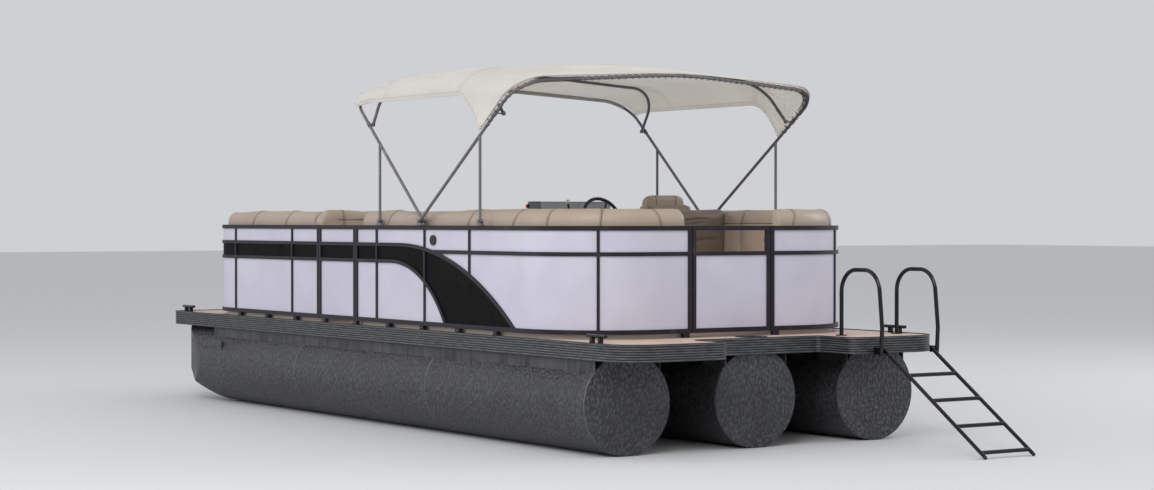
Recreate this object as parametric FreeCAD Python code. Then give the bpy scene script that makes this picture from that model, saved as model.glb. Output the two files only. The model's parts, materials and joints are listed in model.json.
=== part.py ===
# Three-tube pontoon boat, 22 ft deck: hull tubes, deck, fenced cockpit, lounges, helm,
# folding bimini top and a hinged stern ladder.
# Frame: +X to the bow, +Y to port, +Z up, millimetres. Shapes are laid out from the middle
# of the deck, and save() moves them so that the origin is the middle of the overall length,
# on the floor under the tubes.
import FreeCAD, Part
import math
import os

V = FreeCAD.Vector
X_AXIS = V(1, 0, 0)
Y_AXIS = V(0, 1, 0)
Z_AXIS = V(0, 0, 1)

# ---- deck and hull ----
deck_length = 6720.0
deck_beam = 2590.0
deck_board = 20.0
cross_member_depth = 45.0
cross_member_width = 40.0
cross_member_pitch = 430.0
channel_wall = 4.0
notch_half_width = 500.0        # stern cut-out between the two swim platforms
notch_depth = 350.0
stern_corner_radius = 240.0
bow_corner_radius = 80.0
wing_corner_radius = 60.0
tube_diameter = 650.0
tube_stern_inset = 380.0        # deck stern edge to the flat aft end of a tube
outer_tube_inset = 280.0        # deck edge to an outer tube's axis
riser_offset = 250.0
riser_wall = 6.0
riser_flange = 40.0
rub_rail_height = 110.0
rub_rail_thickness = 25.0
rub_rail_stand_up = 5.0         # above the deck surface
flute_count = 6
flute_depth = 4.0
flute_height = 8.0

# ---- cockpit fence and gates ----
fence_height = 700.0
fence_foot_height = 30.0
fence_inset = 48.0              # deck edge to the fence's outer face
fence_tube = 30.0
bow_deck = 610.0                # deck ahead of the fence
swim_deck = 636.0               # deck behind the fence
fence_bow_radius = 350.0
fence_stern_radius = 640.0
slim_post = 20.0
gate_post = 28.0
gate_gap = 6.0
mid_rail = 26.0
mid_rail_drop = 182.0           # below the fence's top edge
band_top_drop = 137.0
band_bottom_drop = 256.0
band_rail = 25.0
band_top_bend_x = -450.0
band_top_radius = 2485.0
band_bottom_bend_x = -350.0
band_bottom_radius = 885.0
panel_sheet = 4.0
panel_setback = 10.0
port_gate_from_bow = 1975.0     # fence bow face to the gate's forward edge
port_gate_width = 581.0
stern_gate_half = 324.0
bow_gate_half = 350.0

# ---- furniture ----
lounge_gap = 12.0               # fence to seat back
lounge_back_thickness = 120.0
lounge_back_height = 853.0      # above the deck
lounge_base_height = 330.0
cushion_thickness = 110.0
lounge_depth = 600.0
soft_gap = 0.3

# ---- bimini top ----
bow_tube = 22.0
bimini_pivot_x = -780.0
bimini_pivot_rise = 30.0        # above the top rail
front_bow_rise = 41.5           # degrees above the rail, leaning forward
rear_bow_rise = 35.3            # degrees above the rail, leaning aft

# ---- stern ladder ----
ladder_length = 1120.0
ladder_hinge_out = 70.0         # deck edge to hinge
ladder_hinge_below = 85.0       # deck surface to hinge
ladder_width = 410.0
ladder_y = -920.0
ladder_tube = 25.0
ladder_floor_gap = 0.3

# ---- worked out ----
half_beam = deck_beam / 2
bow_x = deck_length / 2
stern_x = -deck_length / 2
tube_r = tube_diameter / 2
tube_top = tube_diameter
deck_under = tube_top + cross_member_depth
deck_top = deck_under + deck_board
rail_top_z = deck_top + rub_rail_stand_up
rail_bottom_z = rail_top_z - rub_rail_height
outer_tube_y = half_beam - outer_tube_inset
tube_stern_x = stern_x + tube_stern_inset
notch_x = stern_x + notch_depth
fence_z = deck_top + fence_foot_height
fence_top = fence_z + fence_height
fence_y = half_beam - fence_inset
fence_inner_y = fence_y - fence_tube
fence_bow_x = bow_x - bow_deck
fence_stern_x = stern_x + swim_deck
gate_front_x = fence_bow_x - port_gate_from_bow
gate_rear_x = gate_front_x - port_gate_width
hinge_x = stern_x - ladder_hinge_out
hinge_z = deck_top - ladder_hinge_below
foot_radius = ladder_tube / 2
ladder_lean = math.acos((hinge_z - foot_radius - ladder_floor_gap) / ladder_length)
overall_stern_x = hinge_x - ladder_length * math.sin(ladder_lean) - foot_radius
origin_x = (bow_x + overall_stern_x) / 2

os.makedirs("parts", exist_ok=True)


# ---- helpers ----
def save(name, *shapes):
    """Write one node: its solids, moved into the row's frame."""
    solids = [s for shape in shapes for s in shape.Solids]
    moved = Part.makeCompound(solids)
    moved.translate(V(-origin_x, 0, 0))
    moved.exportStep("parts/%s.step" % name)
    print(name, len(solids), "solids", round(sum(s.Volume for s in solids) / 1e6, 2), "litres")


def fuse(shapes):
    return shapes[0].multiFuse(list(shapes[1:])).removeSplitter() if len(shapes) > 1 else shapes[0]


def mirror_y(shape):
    return shape.mirror(V(0, 0, 0), Y_AXIS)


def box(x0, x1, y0, y1, z0, z1):
    return Part.makeBox(x1 - x0, y1 - y0, z1 - z0, V(x0, y0, z0))


def rod(start, end, radius):
    along = end - start
    return Part.makeCylinder(radius, along.Length, start, along)


def outline(corners, place):
    """A closed wire round a list of (u, v, radius) corners; place(u, v) gives the 3-D point."""
    count = len(corners)
    ends = []
    for i, (u, v, radius) in enumerate(corners):
        here = V(u, v, 0)
        before = V(*corners[i - 1][:2], 0) - here
        after = V(*corners[(i + 1) % count][:2], 0) - here
        before.normalize()
        after.normalize()
        half = before.getAngle(after) / 2
        if radius <= 0:
            ends.append((here, None, here))
            continue
        reach = radius / math.tan(half)
        middle = before + after
        middle.normalize()
        centre = here + middle * (radius / math.sin(half))
        ends.append((here + before * reach, centre - middle * radius, here + after * reach))
    edges = []
    for i, (start, top, end) in enumerate(ends):
        if top is not None:
            edges.append(Part.Arc(place(*start[:2]), place(*top[:2]), place(*end[:2])).toShape())
        following = ends[(i + 1) % count][0]
        if (following - end).Length > 1e-6:
            edges.append(Part.LineSegment(place(*end[:2]), place(*following[:2])).toShape())
    return Part.Wire(edges)


def inset(corners, d):
    """The same corners, counter-clockwise, with every edge moved d inwards."""
    count = len(corners)
    moved = []
    for i, (u, v, radius) in enumerate(corners):
        here = V(u, v, 0)
        into = here - V(*corners[i - 1][:2], 0)
        out = V(*corners[(i + 1) % count][:2], 0) - here
        into.normalize()
        out.normalize()
        turn = into.x * out.y - into.y * out.x
        shift = (out - into) * (d / turn)
        new_radius = 0 if radius <= 0 else max(radius - d if turn > 0 else radius + d, 1.0)
        moved.append((u + shift.x, v + shift.y, new_radius))
    return moved


def prism(corners, z0, z1):
    wire = outline(corners, lambda u, v: V(u, v, z0))
    return Part.Face(wire).extrude(V(0, 0, z1 - z0))


def side_prism(corners, y0, y1):
    """A side profile of (x, z, radius) corners, extruded across the boat."""
    wire = outline(corners, lambda u, v: V(u, y0, v))
    return Part.Face(wire).extrude(V(0, y1 - y0, 0))


def ring(corners, outer, inner, z0, z1):
    return prism(inset(corners, outer), z0, z1).cut(prism(inset(corners, inner), z0, z1))


def tube(points, radius):
    """A round tube along (point, bend radius) stops."""
    edges = []
    last = points[0][0]
    for i in range(1, len(points) - 1):
        here, bend = points[i]
        before = points[i - 1][0] - here
        after = points[i + 1][0] - here
        before.normalize()
        after.normalize()
        half = before.getAngle(after) / 2
        reach = bend / math.tan(half)
        middle = before + after
        middle.normalize()
        top = here + middle * (bend / math.sin(half) - bend)
        start = here + before * reach
        if (start - last).Length > 1e-6:
            edges.append(Part.LineSegment(last, start).toShape())
        last = here + after * reach
        edges.append(Part.Arc(start, top, last).toShape())
    edges.append(Part.LineSegment(last, points[-1][0]).toShape())
    path = Part.Wire(edges)
    direction = points[1][0] - points[0][0]
    profile = Part.Wire(Part.makeCircle(radius, points[0][0], direction))
    return path.makePipeShell([profile], True, True)


# ---- hull tubes ----
nose_length = 770.0             # bow end of the deck to where the keel starts to rise
nose_tip_back = 30.0            # deck's bow end to the foremost point
stem_foot = (130.0, 295.0, 250.0)       # side view: back from the deck's bow end, height, radius
stem_head = (30.0, 560.0, 60.0)
nose_cheek = (180.0, 200.0, 250.0)      # plan: back from the deck's bow end, half width, radius
keel_round = 700.0
cheek_start = 150.0             # ahead of where the keel starts to rise
cheek_round = 600.0
nose_point_round = 90.0
profile_clear = 10.0            # cutting profiles stand this far off what they leave whole
fin_length = 590.0              # spray fin, beside the nose
fin_back = 1030.0               # deck's bow end to the fin's aft end
fin_height = 100.0
fin_tilt = 75.0                 # rise of the fin's lower edge towards its point
fin_thickness = 8.0
fin_drop = 234.0                # top of the tube to the fin's lower edge
fin_set_in = 19.5               # the tube's side to the fin's middle plane
tube_straight_x = bow_x - nose_length


def pontoon(y, fin_sides):
    """A round tube with a flat stern end, its nose cut to a rising keel and narrowing cheeks."""
    tip = bow_x - nose_tip_back
    body = rod(V(tube_stern_x, y, tube_r), V(bow_x + profile_clear, y, tube_r), tube_r)
    foot_back, foot_z, foot_round = stem_foot
    head_back, head_z, head_round = stem_head
    over = tube_top + profile_clear
    keel = side_prism((
        (tube_stern_x, -profile_clear, 0), (tube_straight_x - profile_clear, -profile_clear, 0),
        (tube_straight_x, 0.0, keel_round), (bow_x - foot_back, foot_z, foot_round),
        (bow_x - head_back, head_z, head_round), (tip - nose_tip_back, over, 0),
        (tube_stern_x, over, 0),
    ), y - tube_diameter, y + tube_diameter)
    cheek_back, cheek_y, cheek_bend = nose_cheek
    half_plan = (                # from the point of the nose back along the starboard side
        (bow_x - profile_clear, 0.0, nose_point_round), (bow_x - cheek_back, cheek_y, cheek_bend),
        (tube_straight_x + cheek_start, tube_r, cheek_round),
        (tube_straight_x, tube_r + profile_clear / 2, 0), (tube_straight_x, tube_diameter, 0),
        (tube_stern_x, tube_diameter, 0),
    )
    plan = [(x, y + half, radius) for x, half, radius in half_plan]
    plan += [(x, y - half, radius) for x, half, radius in reversed(half_plan[1:])]
    pieces = [body.common(keel).common(prism(plan, -profile_clear, over))]
    for side in fin_sides:
        back_x = bow_x - fin_back
        fin_z = tube_diameter - fin_drop
        fin = ((back_x, fin_z, 0), (back_x + fin_length, fin_z + fin_tilt, 0),
               (back_x, fin_z + fin_height, 0))
        at = y + side * (tube_r - fin_set_in)
        pieces.append(side_prism(fin, at - fin_thickness / 2, at + fin_thickness / 2))
    return fuse(pieces)


def risers(y):
    """The two flanged webs that carry the deck on one tube."""
    x1 = tube_straight_x
    sides = []
    for side in (-1, 1):
        a, b = sorted((y + side * riser_offset, y + side * (riser_offset - riser_wall)))
        c, d = sorted((y + side * riser_offset, y + side * (riser_offset - riser_flange)))
        web = box(tube_stern_x, x1, a, b, tube_r, tube_top)
        flange = box(tube_stern_x, x1, c, d, tube_top - riser_wall, tube_top)
        tube_body = rod(V(tube_stern_x - profile_clear, y, tube_r),
                        V(x1 + profile_clear, y, tube_r), tube_r)
        sides.append(web.fuse(flange).cut(tube_body).removeSplitter())
    return sides


save("center_pontoon", pontoon(0.0, ()))
save("port_pontoon", pontoon(outer_tube_y, (1,)))
save("starboard_pontoon", pontoon(-outer_tube_y, (-1,)))
save("pontoon_risers", *[web for y in (-outer_tube_y, 0.0, outer_tube_y) for web in risers(y)])

# ---- deck, its frame and the fluted rub rail ----
deck_corners = (
    (bow_x, -half_beam, bow_corner_radius),
    (bow_x, half_beam, bow_corner_radius),
    (stern_x, half_beam, stern_corner_radius),
    (stern_x, notch_half_width, wing_corner_radius),
    (notch_x, notch_half_width, wing_corner_radius / 2),
    (notch_x, -notch_half_width, wing_corner_radius / 2),
    (stern_x, -notch_half_width, wing_corner_radius),
    (stern_x, -half_beam, stern_corner_radius),
)
socket_x = notch_x + 170.0
socket_y = -70.0
socket_bore = 40.0
socket_wall = 6.0
socket_depth = 60.0
socket_flange = 105.0
socket_plate_height = 4.0
cut_over = 1.0                  # how far a cutting tool runs past what it cuts



def socket_rod(low, high, radius):
    """A cylinder on the socket's axis, between two heights from the deck's surface."""
    return rod(V(socket_x, socket_y, deck_top + low), V(socket_x, socket_y, deck_top + high), radius)


board = prism(inset(deck_corners, rub_rail_thickness), deck_under, deck_top)
save("deck", board.cut(socket_rod(-deck_board - cut_over, cut_over,
                                  socket_bore + socket_wall + soft_gap)))
socket = fuse([socket_rod(-socket_depth, 0.0, socket_bore + socket_wall),
               socket_rod(0.0, socket_plate_height, socket_flange)])
save("deck_socket", socket.cut(socket_rod(-socket_depth - cut_over,
                                          socket_plate_height + cut_over, socket_bore)))

frame_area = prism(inset(deck_corners, rub_rail_thickness + cut_over), tube_top, deck_under)
first_channel = 200.0           # deck's stern end to the first cross member
last_channel = 100.0            # the least from the last one's aft face to the bow end
channels = []
channel_x = stern_x + first_channel
while channel_x < bow_x - last_channel:
    outer = box(channel_x, channel_x + cross_member_width, -half_beam, half_beam,
                tube_top, deck_under)
    inner = box(channel_x + channel_wall, channel_x + cross_member_width, -half_beam, half_beam,
                tube_top + channel_wall, deck_under - channel_wall)
    channels.append(outer.cut(inner).common(frame_area))
    channel_x += cross_member_pitch
save("cross_members", *channels)

rub_rail = ring(deck_corners, 0, rub_rail_thickness, rail_bottom_z, rail_top_z)
flute_pitch = rub_rail_height / (flute_count + 1)
for n in range(flute_count):
    z = rail_bottom_z + flute_pitch * (n + 1) - flute_height / 2
    rub_rail = rub_rail.cut(ring(deck_corners, -cut_over, flute_depth, z, z + flute_height))
cut_gap = 2.0                   # between two lengths of the rail
notch_side = 100.0              # how far the stern length runs past the notch's sides
bow_cut = bow_x - bow_corner_radius - rub_rail_thickness
stern_cut = stern_x + stern_corner_radius + rub_rail_thickness
far = deck_length
rail_spans = {
    "bow_rub_rail": (bow_cut + cut_gap, far, -far, far),
    "port_rub_rail": (stern_cut, bow_cut, 0, far),
    "starboard_rub_rail": (stern_cut, bow_cut, -far, 0),
    "stern_rub_rail": (-far, stern_cut - cut_gap, -far, far),
}
notch_span = box(-far, 0, -notch_half_width - notch_side, notch_half_width + notch_side, 0, far)
for name, (x0, x1, y0, y1) in rail_spans.items():
    piece = rub_rail.common(box(x0, x1, y0, y1, 0, far))
    if name in ("port_rub_rail", "starboard_rub_rail"):
        piece = piece.cut(notch_span)
    if name == "stern_rub_rail":
        piece = piece.fuse(rub_rail.common(notch_span)).removeSplitter()
    save(name, piece)

# ---- cockpit fence ----
fence_corners = (
    (fence_bow_x, -fence_y, fence_bow_radius),
    (fence_bow_x, fence_y, fence_bow_radius),
    (fence_stern_x, fence_y, fence_stern_radius),
    (fence_stern_x, -fence_y, fence_stern_radius),
)
panel_z0 = fence_z + fence_tube
panel_z1 = fence_top - fence_tube


def under_curve(drop_from_top, bend_x, radius, grow):
    """Everything below a band rail: level from the bow, then down an arc to the deck."""
    z = fence_top - drop_from_top
    drop = z - fence_z
    foot_x = bend_x - math.sqrt((radius + grow) ** 2 - (radius - drop) ** 2)
    mid_turn = math.pi / 2 + math.acos((radius - drop) / (radius + grow)) / 2
    reach = radius + grow
    top = V(bend_x, 0, z + grow)
    middle = V(bend_x + reach * math.cos(mid_turn), 0, z - radius + reach * math.sin(mid_turn))
    foot = V(foot_x, 0, fence_z)
    edges = [
        Part.LineSegment(V(far, 0, fence_z), V(far, 0, z + grow)).toShape(),
        Part.LineSegment(V(far, 0, z + grow), top).toShape(),
        Part.Arc(top, middle, foot).toShape(),
        Part.LineSegment(foot, V(far, 0, fence_z)).toShape(),
    ]
    area = Part.Face(Part.Wire(edges))
    area.translate(V(0, -half_beam * 2, 0))
    return area.extrude(V(0, half_beam * 4, 0))


def below_band_top(grow):
    return under_curve(band_top_drop, band_top_bend_x, band_top_radius, grow)


def below_band_bottom(grow):
    return under_curve(band_bottom_drop, band_bottom_bend_x, band_bottom_radius, grow)


whole_ring = ring(fence_corners, 0, fence_tube, fence_z, fence_top)
bottom_rail = ring(fence_corners, 0, fence_tube, fence_z, fence_z + fence_tube)
top_rail = ring(fence_corners, 0, fence_tube, fence_top - fence_tube, fence_top)
middle_z = fence_top - mid_rail_drop - mid_rail / 2
middle_rail = ring(fence_corners, 0, fence_tube, middle_z, middle_z + mid_rail)
middle_rail = middle_rail.cut(below_band_top(0))
band_top_rail = whole_ring.common(below_band_top(band_rail / 2).cut(below_band_top(-band_rail / 2)))
band_bottom_rail = whole_ring.common(
    below_band_bottom(band_rail / 2).cut(below_band_bottom(-band_rail / 2)))
rails = fuse([bottom_rail, top_rail, middle_rail, band_top_rail, band_bottom_rail])
sheet = ring(fence_corners, panel_setback, panel_setback + panel_sheet, panel_z0, panel_z1)
band_area = below_band_top(-band_rail / 2).cut(below_band_bottom(band_rail / 2))

# posts on the sides, by distance from the fence's bow face; whole height or above the band only
slim_posts = ((519.0, True), (1523.0, True), (2877.0, True), (3570.0, True), (4178.0, False))
stern_post_turn = 54.0          # degrees round the stern corner from the side


def side_post(x, width):
    return box(x - width / 2, x + width / 2, fence_inner_y, fence_y, fence_z, fence_top)


def corner_post(turn, width):
    """A post on the stern corner's curve, at the given turn from the side."""
    angle = math.radians(90 + turn)
    post = box(fence_stern_radius - fence_tube, fence_stern_radius, -width / 2, width / 2,
               fence_z, fence_top)
    post.rotate(V(0, 0, 0), Z_AXIS, math.degrees(angle))
    centre_x = fence_stern_x + fence_stern_radius
    centre_y = fence_y - fence_stern_radius
    post.translate(V(centre_x, centre_y, 0))
    return post


def posts_for_side():
    posts = []
    for from_bow, whole in slim_posts:
        post = side_post(fence_bow_x - from_bow, slim_post)
        posts.append(post if whole else post.cut(below_band_top(0)))
    posts.append(corner_post(stern_post_turn, slim_post))
    return posts


def end_post_x(y, inward, x0, x1):
    """A gate post across the bow or stern, on the fence side of a gate's edge."""
    a, b = sorted((y + inward * gate_gap / 2, y + inward * (gate_gap / 2 + gate_post)))
    return box(x0, x1, a, b, fence_z, fence_top)


def end_post_y(x, inward, y0, y1):
    a, b = sorted((x + inward * gate_gap / 2, x + inward * (gate_gap / 2 + gate_post)))
    return box(a, b, y0, y1, fence_z, fence_top)


bow_ring_x = (fence_bow_x - fence_tube, fence_bow_x)
stern_ring_x = (fence_stern_x, fence_stern_x + fence_tube)
port_ring_y = (fence_inner_y, fence_y)
half_gap = gate_gap / 2
port_areas = (
    (gate_front_x + half_gap, far, bow_gate_half + half_gap, far),
    (-far, gate_rear_x - half_gap, stern_gate_half + half_gap, far),
)
starboard_areas = (
    (0.0, far, -far, -bow_gate_half - half_gap),
    (-far, 0.0, -far, -stern_gate_half - half_gap),
)
gate_areas = {
    "bow_gate": (0.0, far, -bow_gate_half + half_gap, bow_gate_half - half_gap),
    "port_gate": (gate_rear_x + half_gap, gate_front_x - half_gap, 0.0, far),
    "stern_gate": (-far, 0.0, -stern_gate_half + half_gap, stern_gate_half - half_gap),
}


def within(shape, area):
    x0, x1, y0, y1 = area
    return shape.common(box(x0, x1, y0, y1, 0, 2 * far))


def gate_posts(side):
    """Fixed posts beside the gates, for one side (+1 port, -1 starboard)."""
    posts = [end_post_x(side * bow_gate_half, side, *bow_ring_x),
             end_post_x(side * stern_gate_half, side, *stern_ring_x)]
    if side > 0:
        posts += [end_post_y(gate_front_x, 1, *port_ring_y),
                  end_post_y(gate_rear_x, -1, *port_ring_y)]
    return posts


# hinge: a knuckle on the post below a knuckle on the gate, round one pin
knuckle_r = 8.0
knuckle_height = 30.0
hinge_pin_r = 4.0
hinge_pin_gap = 0.3
hinge_plate = 4.0
lower_hinge_rise = 120.0        # above the fence's underside
upper_hinge_drop = 140.0        # below its top edge


def gate_hinge(pin_x, pin_y, along, to_frame):
    """Hinge pieces for one gate. to_frame points from the pin towards the fence ring."""
    gate_pieces = []
    post_pieces = []
    bores = []
    for z in (fence_z + lower_hinge_rise, fence_top - upper_hinge_drop):
        for level, direction, keep in ((1, 1, gate_pieces), (0, -1, post_pieces)):
            base = z + level * (knuckle_height + hinge_pin_gap)
            at = V(pin_x, pin_y, base)
            keep.append(Part.makeCylinder(knuckle_r, knuckle_height, at))
            far_corner = (at + along * (direction * (half_gap + gate_post))
                          + to_frame * (knuckle_r + 1) + Z_AXIS * knuckle_height)
            near_corner = at + to_frame * (knuckle_r + 1 - hinge_plate)
            low = V(min(far_corner.x, near_corner.x), min(far_corner.y, near_corner.y), base)
            size = V(abs(far_corner.x - near_corner.x), abs(far_corner.y - near_corner.y), 0)
            keep.append(Part.makeBox(size.x, size.y, knuckle_height, low))
        pin_base = V(pin_x, pin_y, z)
        pin_length = 2 * knuckle_height + hinge_pin_gap
        post_pieces.append(Part.makeCylinder(hinge_pin_r, pin_length, pin_base))
        bores.append(Part.makeCylinder(hinge_pin_r + hinge_pin_gap, knuckle_height + 1,
                                       V(pin_x, pin_y, z + knuckle_height)))
    return gate_pieces, post_pieces, bores


pin_back = knuckle_r + 1        # fence's inner face to a hinge pin's axis
gate_hinges = {
    "bow_gate": (V(fence_bow_x - fence_tube - pin_back, bow_gate_half, 0), V(0, -1, 0),
                 V(1, 0, 0)),
    "port_gate": (V(gate_front_x, fence_inner_y - pin_back, 0), V(-1, 0, 0), V(0, 1, 0)),
    "stern_gate": (V(fence_stern_x + fence_tube + pin_back, -stern_gate_half, 0), V(0, 1, 0),
                   V(-1, 0, 0)),
}
hinge_parts = {name: gate_hinge(pin.x, pin.y, along, to_frame)
               for name, (pin, along, to_frame) in gate_hinges.items()}

port_frame = [within(rails, area) for area in port_areas]
port_posts = [within(post, area) for post in posts_for_side() for area in port_areas]
port_posts = [post for post in port_posts if post.Volume > 1]
port_frame = fuse(port_frame + port_posts + gate_posts(1)
                  + hinge_parts["bow_gate"][1] + hinge_parts["port_gate"][1])
starboard_frame = [within(rails, area) for area in starboard_areas]
starboard_frame = fuse(starboard_frame + [mirror_y(post) for post in posts_for_side()]
                       + gate_posts(-1) + hinge_parts["stern_gate"][1])
save("port_fence_frame", port_frame)
save("starboard_fence_frame", starboard_frame)

white_sheet = sheet.cut(band_area)
black_sheet = sheet.common(band_area)
for side, areas, frame in (("port", port_areas, port_frame),
                           ("starboard", starboard_areas, starboard_frame)):
    white = fuse([within(white_sheet, area) for area in areas]).cut(frame)
    black = fuse([within(black_sheet, area) for area in areas]).cut(frame)
    save(side + "_fence_panels", white)
    save(side + "_accent_band", black)

# ---- gates ----
def stiles(name):
    x0, x1, y0, y1 = gate_areas[name]
    if name == "port_gate":
        return [box(x0, x0 + gate_post, *port_ring_y, fence_z, fence_top),
                box(x1 - gate_post, x1, *port_ring_y, fence_z, fence_top)]
    ring_x = bow_ring_x if name == "bow_gate" else stern_ring_x
    return [box(*ring_x, y0, y0 + gate_post, fence_z, fence_top),
            box(*ring_x, y1 - gate_post, y1, fence_z, fence_top)]


for name, area in gate_areas.items():
    hinge_gate, hinge_post, bores = hinge_parts[name]
    frame = fuse([within(rails, area)] + stiles(name) + hinge_gate)
    frame = frame.cut(fuse(bores))
    save(name + "_frame", frame)
    white = within(white_sheet, area).cut(frame)
    if name == "stern_gate":
        white = white.common(box(-far, far, -far, far, 0, middle_z))
    save(name + "_panel", white)
    black = within(black_sheet, area).cut(frame)
    if black.Volume > 1:
        save(name + "_accent_band", black)

# ---- fence feet ----
foot_length = 50.0
foot_width = 26.0
side_feet_pitch = 490.0
first_foot = 240.0              # aft of the bow corner's curve
last_foot = 100.0               # the furthest into the stern corner's curve
gate_foot = 45.0                # outboard of a bow or stern gate's edge


def foot(x, y, length, width):
    return box(x - length / 2, x + length / 2, y - width / 2, y + width / 2, deck_top, fence_z)


feet = []
foot_x = fence_bow_x - fence_bow_radius - first_foot
while foot_x > fence_stern_x + fence_stern_radius - last_foot:
    feet += [foot(foot_x, side * (fence_y - fence_tube / 2), foot_length, foot_width)
             for side in (-1, 1)]
    foot_x -= side_feet_pitch
for x, y in ((fence_bow_x - fence_tube / 2, bow_gate_half + gate_foot),
             (fence_stern_x + fence_tube / 2, stern_gate_half + gate_foot)):
    feet += [foot(x, side * y, foot_width, foot_length) for side in (-1, 1)]
save("fence_feet", *feet)

# ---- lounges ----
seat_z = deck_top + lounge_base_height
cushion_z = seat_z + soft_gap
cushion_top = cushion_z + cushion_thickness
back_top = deck_top + lounge_back_height
back_in = fence_tube + lounge_gap
front_in = back_in + lounge_depth
lounge_side_y = fence_inner_y - lounge_gap - lounge_depth
bow_seat_x = fence_bow_x - 200.0
aft_seat_x = gate_rear_x - 10.0
divider_x = -1110.0
divider_thickness = 120.0
gate_clear = 40.0               # side gate's edge to the bow lounges
port_end_clear = 10.0           # stern gate's edge to the end of a lounge
starboard_end_clear = 96.0
cushion_set_in = 2.0            # seat cushions stand this much clear of the fence side
lounges = {                     # area of each: x from, x to, y from, y to
    "port_bow_lounge": (gate_front_x + gate_clear, bow_seat_x, lounge_side_y, far),
    "starboard_bow_lounge": (gate_front_x + gate_clear, bow_seat_x, -far, -lounge_side_y),
    "port_aft_lounge": (-far, aft_seat_x, stern_gate_half + port_end_clear, far),
    "starboard_aft_lounge": (-far, divider_x, -far, -stern_gate_half - starboard_end_clear),
}
side_of = {"port_bow_lounge": 1, "starboard_bow_lounge": -1}
back_ring = ring(fence_corners, back_in, back_in + lounge_back_thickness, cushion_top + soft_gap,
                 back_top)
seat_ring = ring(fence_corners, back_in + cushion_set_in, front_in, 0, far)
bases = []
for name, area in lounges.items():
    back = within(back_ring, area)
    seat = within(seat_ring, area)
    base = seat.common(box(-far, far, -far, far, deck_top, seat_z))
    cushion = seat.common(box(-far, far, -far, far, cushion_z, cushion_top))
    if name == "starboard_aft_lounge":
        divider = box(divider_x - divider_thickness, divider_x,
                      -fence_inner_y + lounge_gap + lounge_back_thickness + soft_gap,
                      -fence_inner_y + lounge_gap + lounge_depth, cushion_top + soft_gap, back_top)
        save("helm_divider", divider)
    if name in side_of:         # a rest across its aft end, to lean on with the legs forward
        near_y, far_y = sorted((side_of[name] * lounge_side_y,
                                side_of[name] * (fence_inner_y - lounge_gap)))
        back = back.fuse(box(area[0], area[0] + lounge_back_thickness, near_y, far_y,
                             cushion_top + soft_gap, back_top)).removeSplitter()
    bases.append(base)
    save(name + "_cushion", cushion)
    save(name + "_back", back)
save("lounge_bases", *bases)

# ---- helm ----
console_y = (-1120.0, -420.0)
console_x = -20.0               # the dash's overhanging edge
console_foot = 60.0             # from there to the console's aft face at the deck
console_length = 620.0
console_lip = (690.0, 560.0)    # heights of the dash's edge and of the recess under it
console_brow = (250.0, 850.0)   # top of the sloping dash: from the edge, height
console_front = 760.0
console_round = 40.0
console = side_prism((
    (console_x + console_foot, deck_top, 0), (console_x + console_length, deck_top, 0),
    (console_x + console_length, deck_top + console_front, 60.0),
    (console_x + console_brow[0], deck_top + console_brow[1], console_round),
    (console_x, deck_top + console_lip[0], console_round),
    (console_x + console_foot, deck_top + console_lip[1], 30.0),
), *console_y)
save("helm_console", console)

screen_z = deck_top + 790.0
screen_height = 120.0
screen_sheet = 6.0
screen_side = 20.0              # console's side to the screen
screen_round = 120.0
screen_back = 300.0             # dash's edge to the screen's open end
screen_front = 600.0
screen_corners = tuple(
    (console_x + x, y, radius) for x, y, radius in (
        (screen_front, console_y[0] + screen_side, screen_round),
        (screen_front, console_y[1] - screen_side, screen_round),
        (screen_back, console_y[1] - screen_side, screen_sheet),
        (screen_back, console_y[0] + screen_side, screen_sheet)))
screen = ring(screen_corners, 0, screen_sheet, screen_z, screen_z + screen_height)
open_end = box(-far, console_x + screen_back + 5 * screen_sheet, -far, far, 0, far)
save("windscreen", screen.cut(open_end).cut(console))

wheel_y = -790.0
wheel_tilt = 25.0
wheel_r = 175.0
rim_r = 13.0
hub_r = 40.0
hub_height = 30.0
spoke_r = 8.0
spoke_turns = (90, 210, 330)
column_r = 25.0
wheel_stand_off = 60.0
dash_point = V(console_x + 40.0, wheel_y, deck_top + 760.0)
wheel_axis = V(-math.cos(math.radians(wheel_tilt)), 0, math.sin(math.radians(wheel_tilt)))
wheel_centre = dash_point + wheel_axis * wheel_stand_off


def wheel():
    parts = [Part.makeTorus(wheel_r - rim_r, rim_r),
             Part.makeCylinder(hub_r, hub_height, V(0, 0, -hub_height / 2))]
    for turn in spoke_turns:
        reach = V(math.cos(math.radians(turn)), math.sin(math.radians(turn)), 0)
        parts.append(rod(reach * (hub_r - spoke_r), reach * (wheel_r - rim_r), spoke_r))
    shape = fuse(parts)
    shape.Placement = FreeCAD.Placement(wheel_centre, FreeCAD.Rotation(Z_AXIS, wheel_axis))
    return shape


save("steering_wheel", wheel())
column = rod(dash_point - wheel_axis * wheel_stand_off,
             wheel_centre - wheel_axis * (hub_height / 2 + soft_gap), column_r)
save("steering_column", column.cut(console))

lever_y = -540.0
lever_foot = (60.0, 780.0)      # from the dash's edge, height
lever_head = (90.0, 900.0)
lever_r = 9.0
lever_box = (80.0, 60.0, 50.0)  # length, width and height of the control's housing
lever_box_at = (30.0, 740.0)
housing = box(console_x + lever_box_at[0], console_x + lever_box_at[0] + lever_box[0],
              lever_y - lever_box[1] / 2, lever_y + lever_box[1] / 2,
              deck_top + lever_box_at[1], deck_top + lever_box_at[1] + lever_box[2]).cut(console)
lever = rod(V(console_x + lever_foot[0], lever_y, deck_top + lever_foot[1]),
            V(console_x + lever_head[0], lever_y, deck_top + lever_head[1]), lever_r)
save("throttle", fuse([housing, lever]).cut(console))

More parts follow.
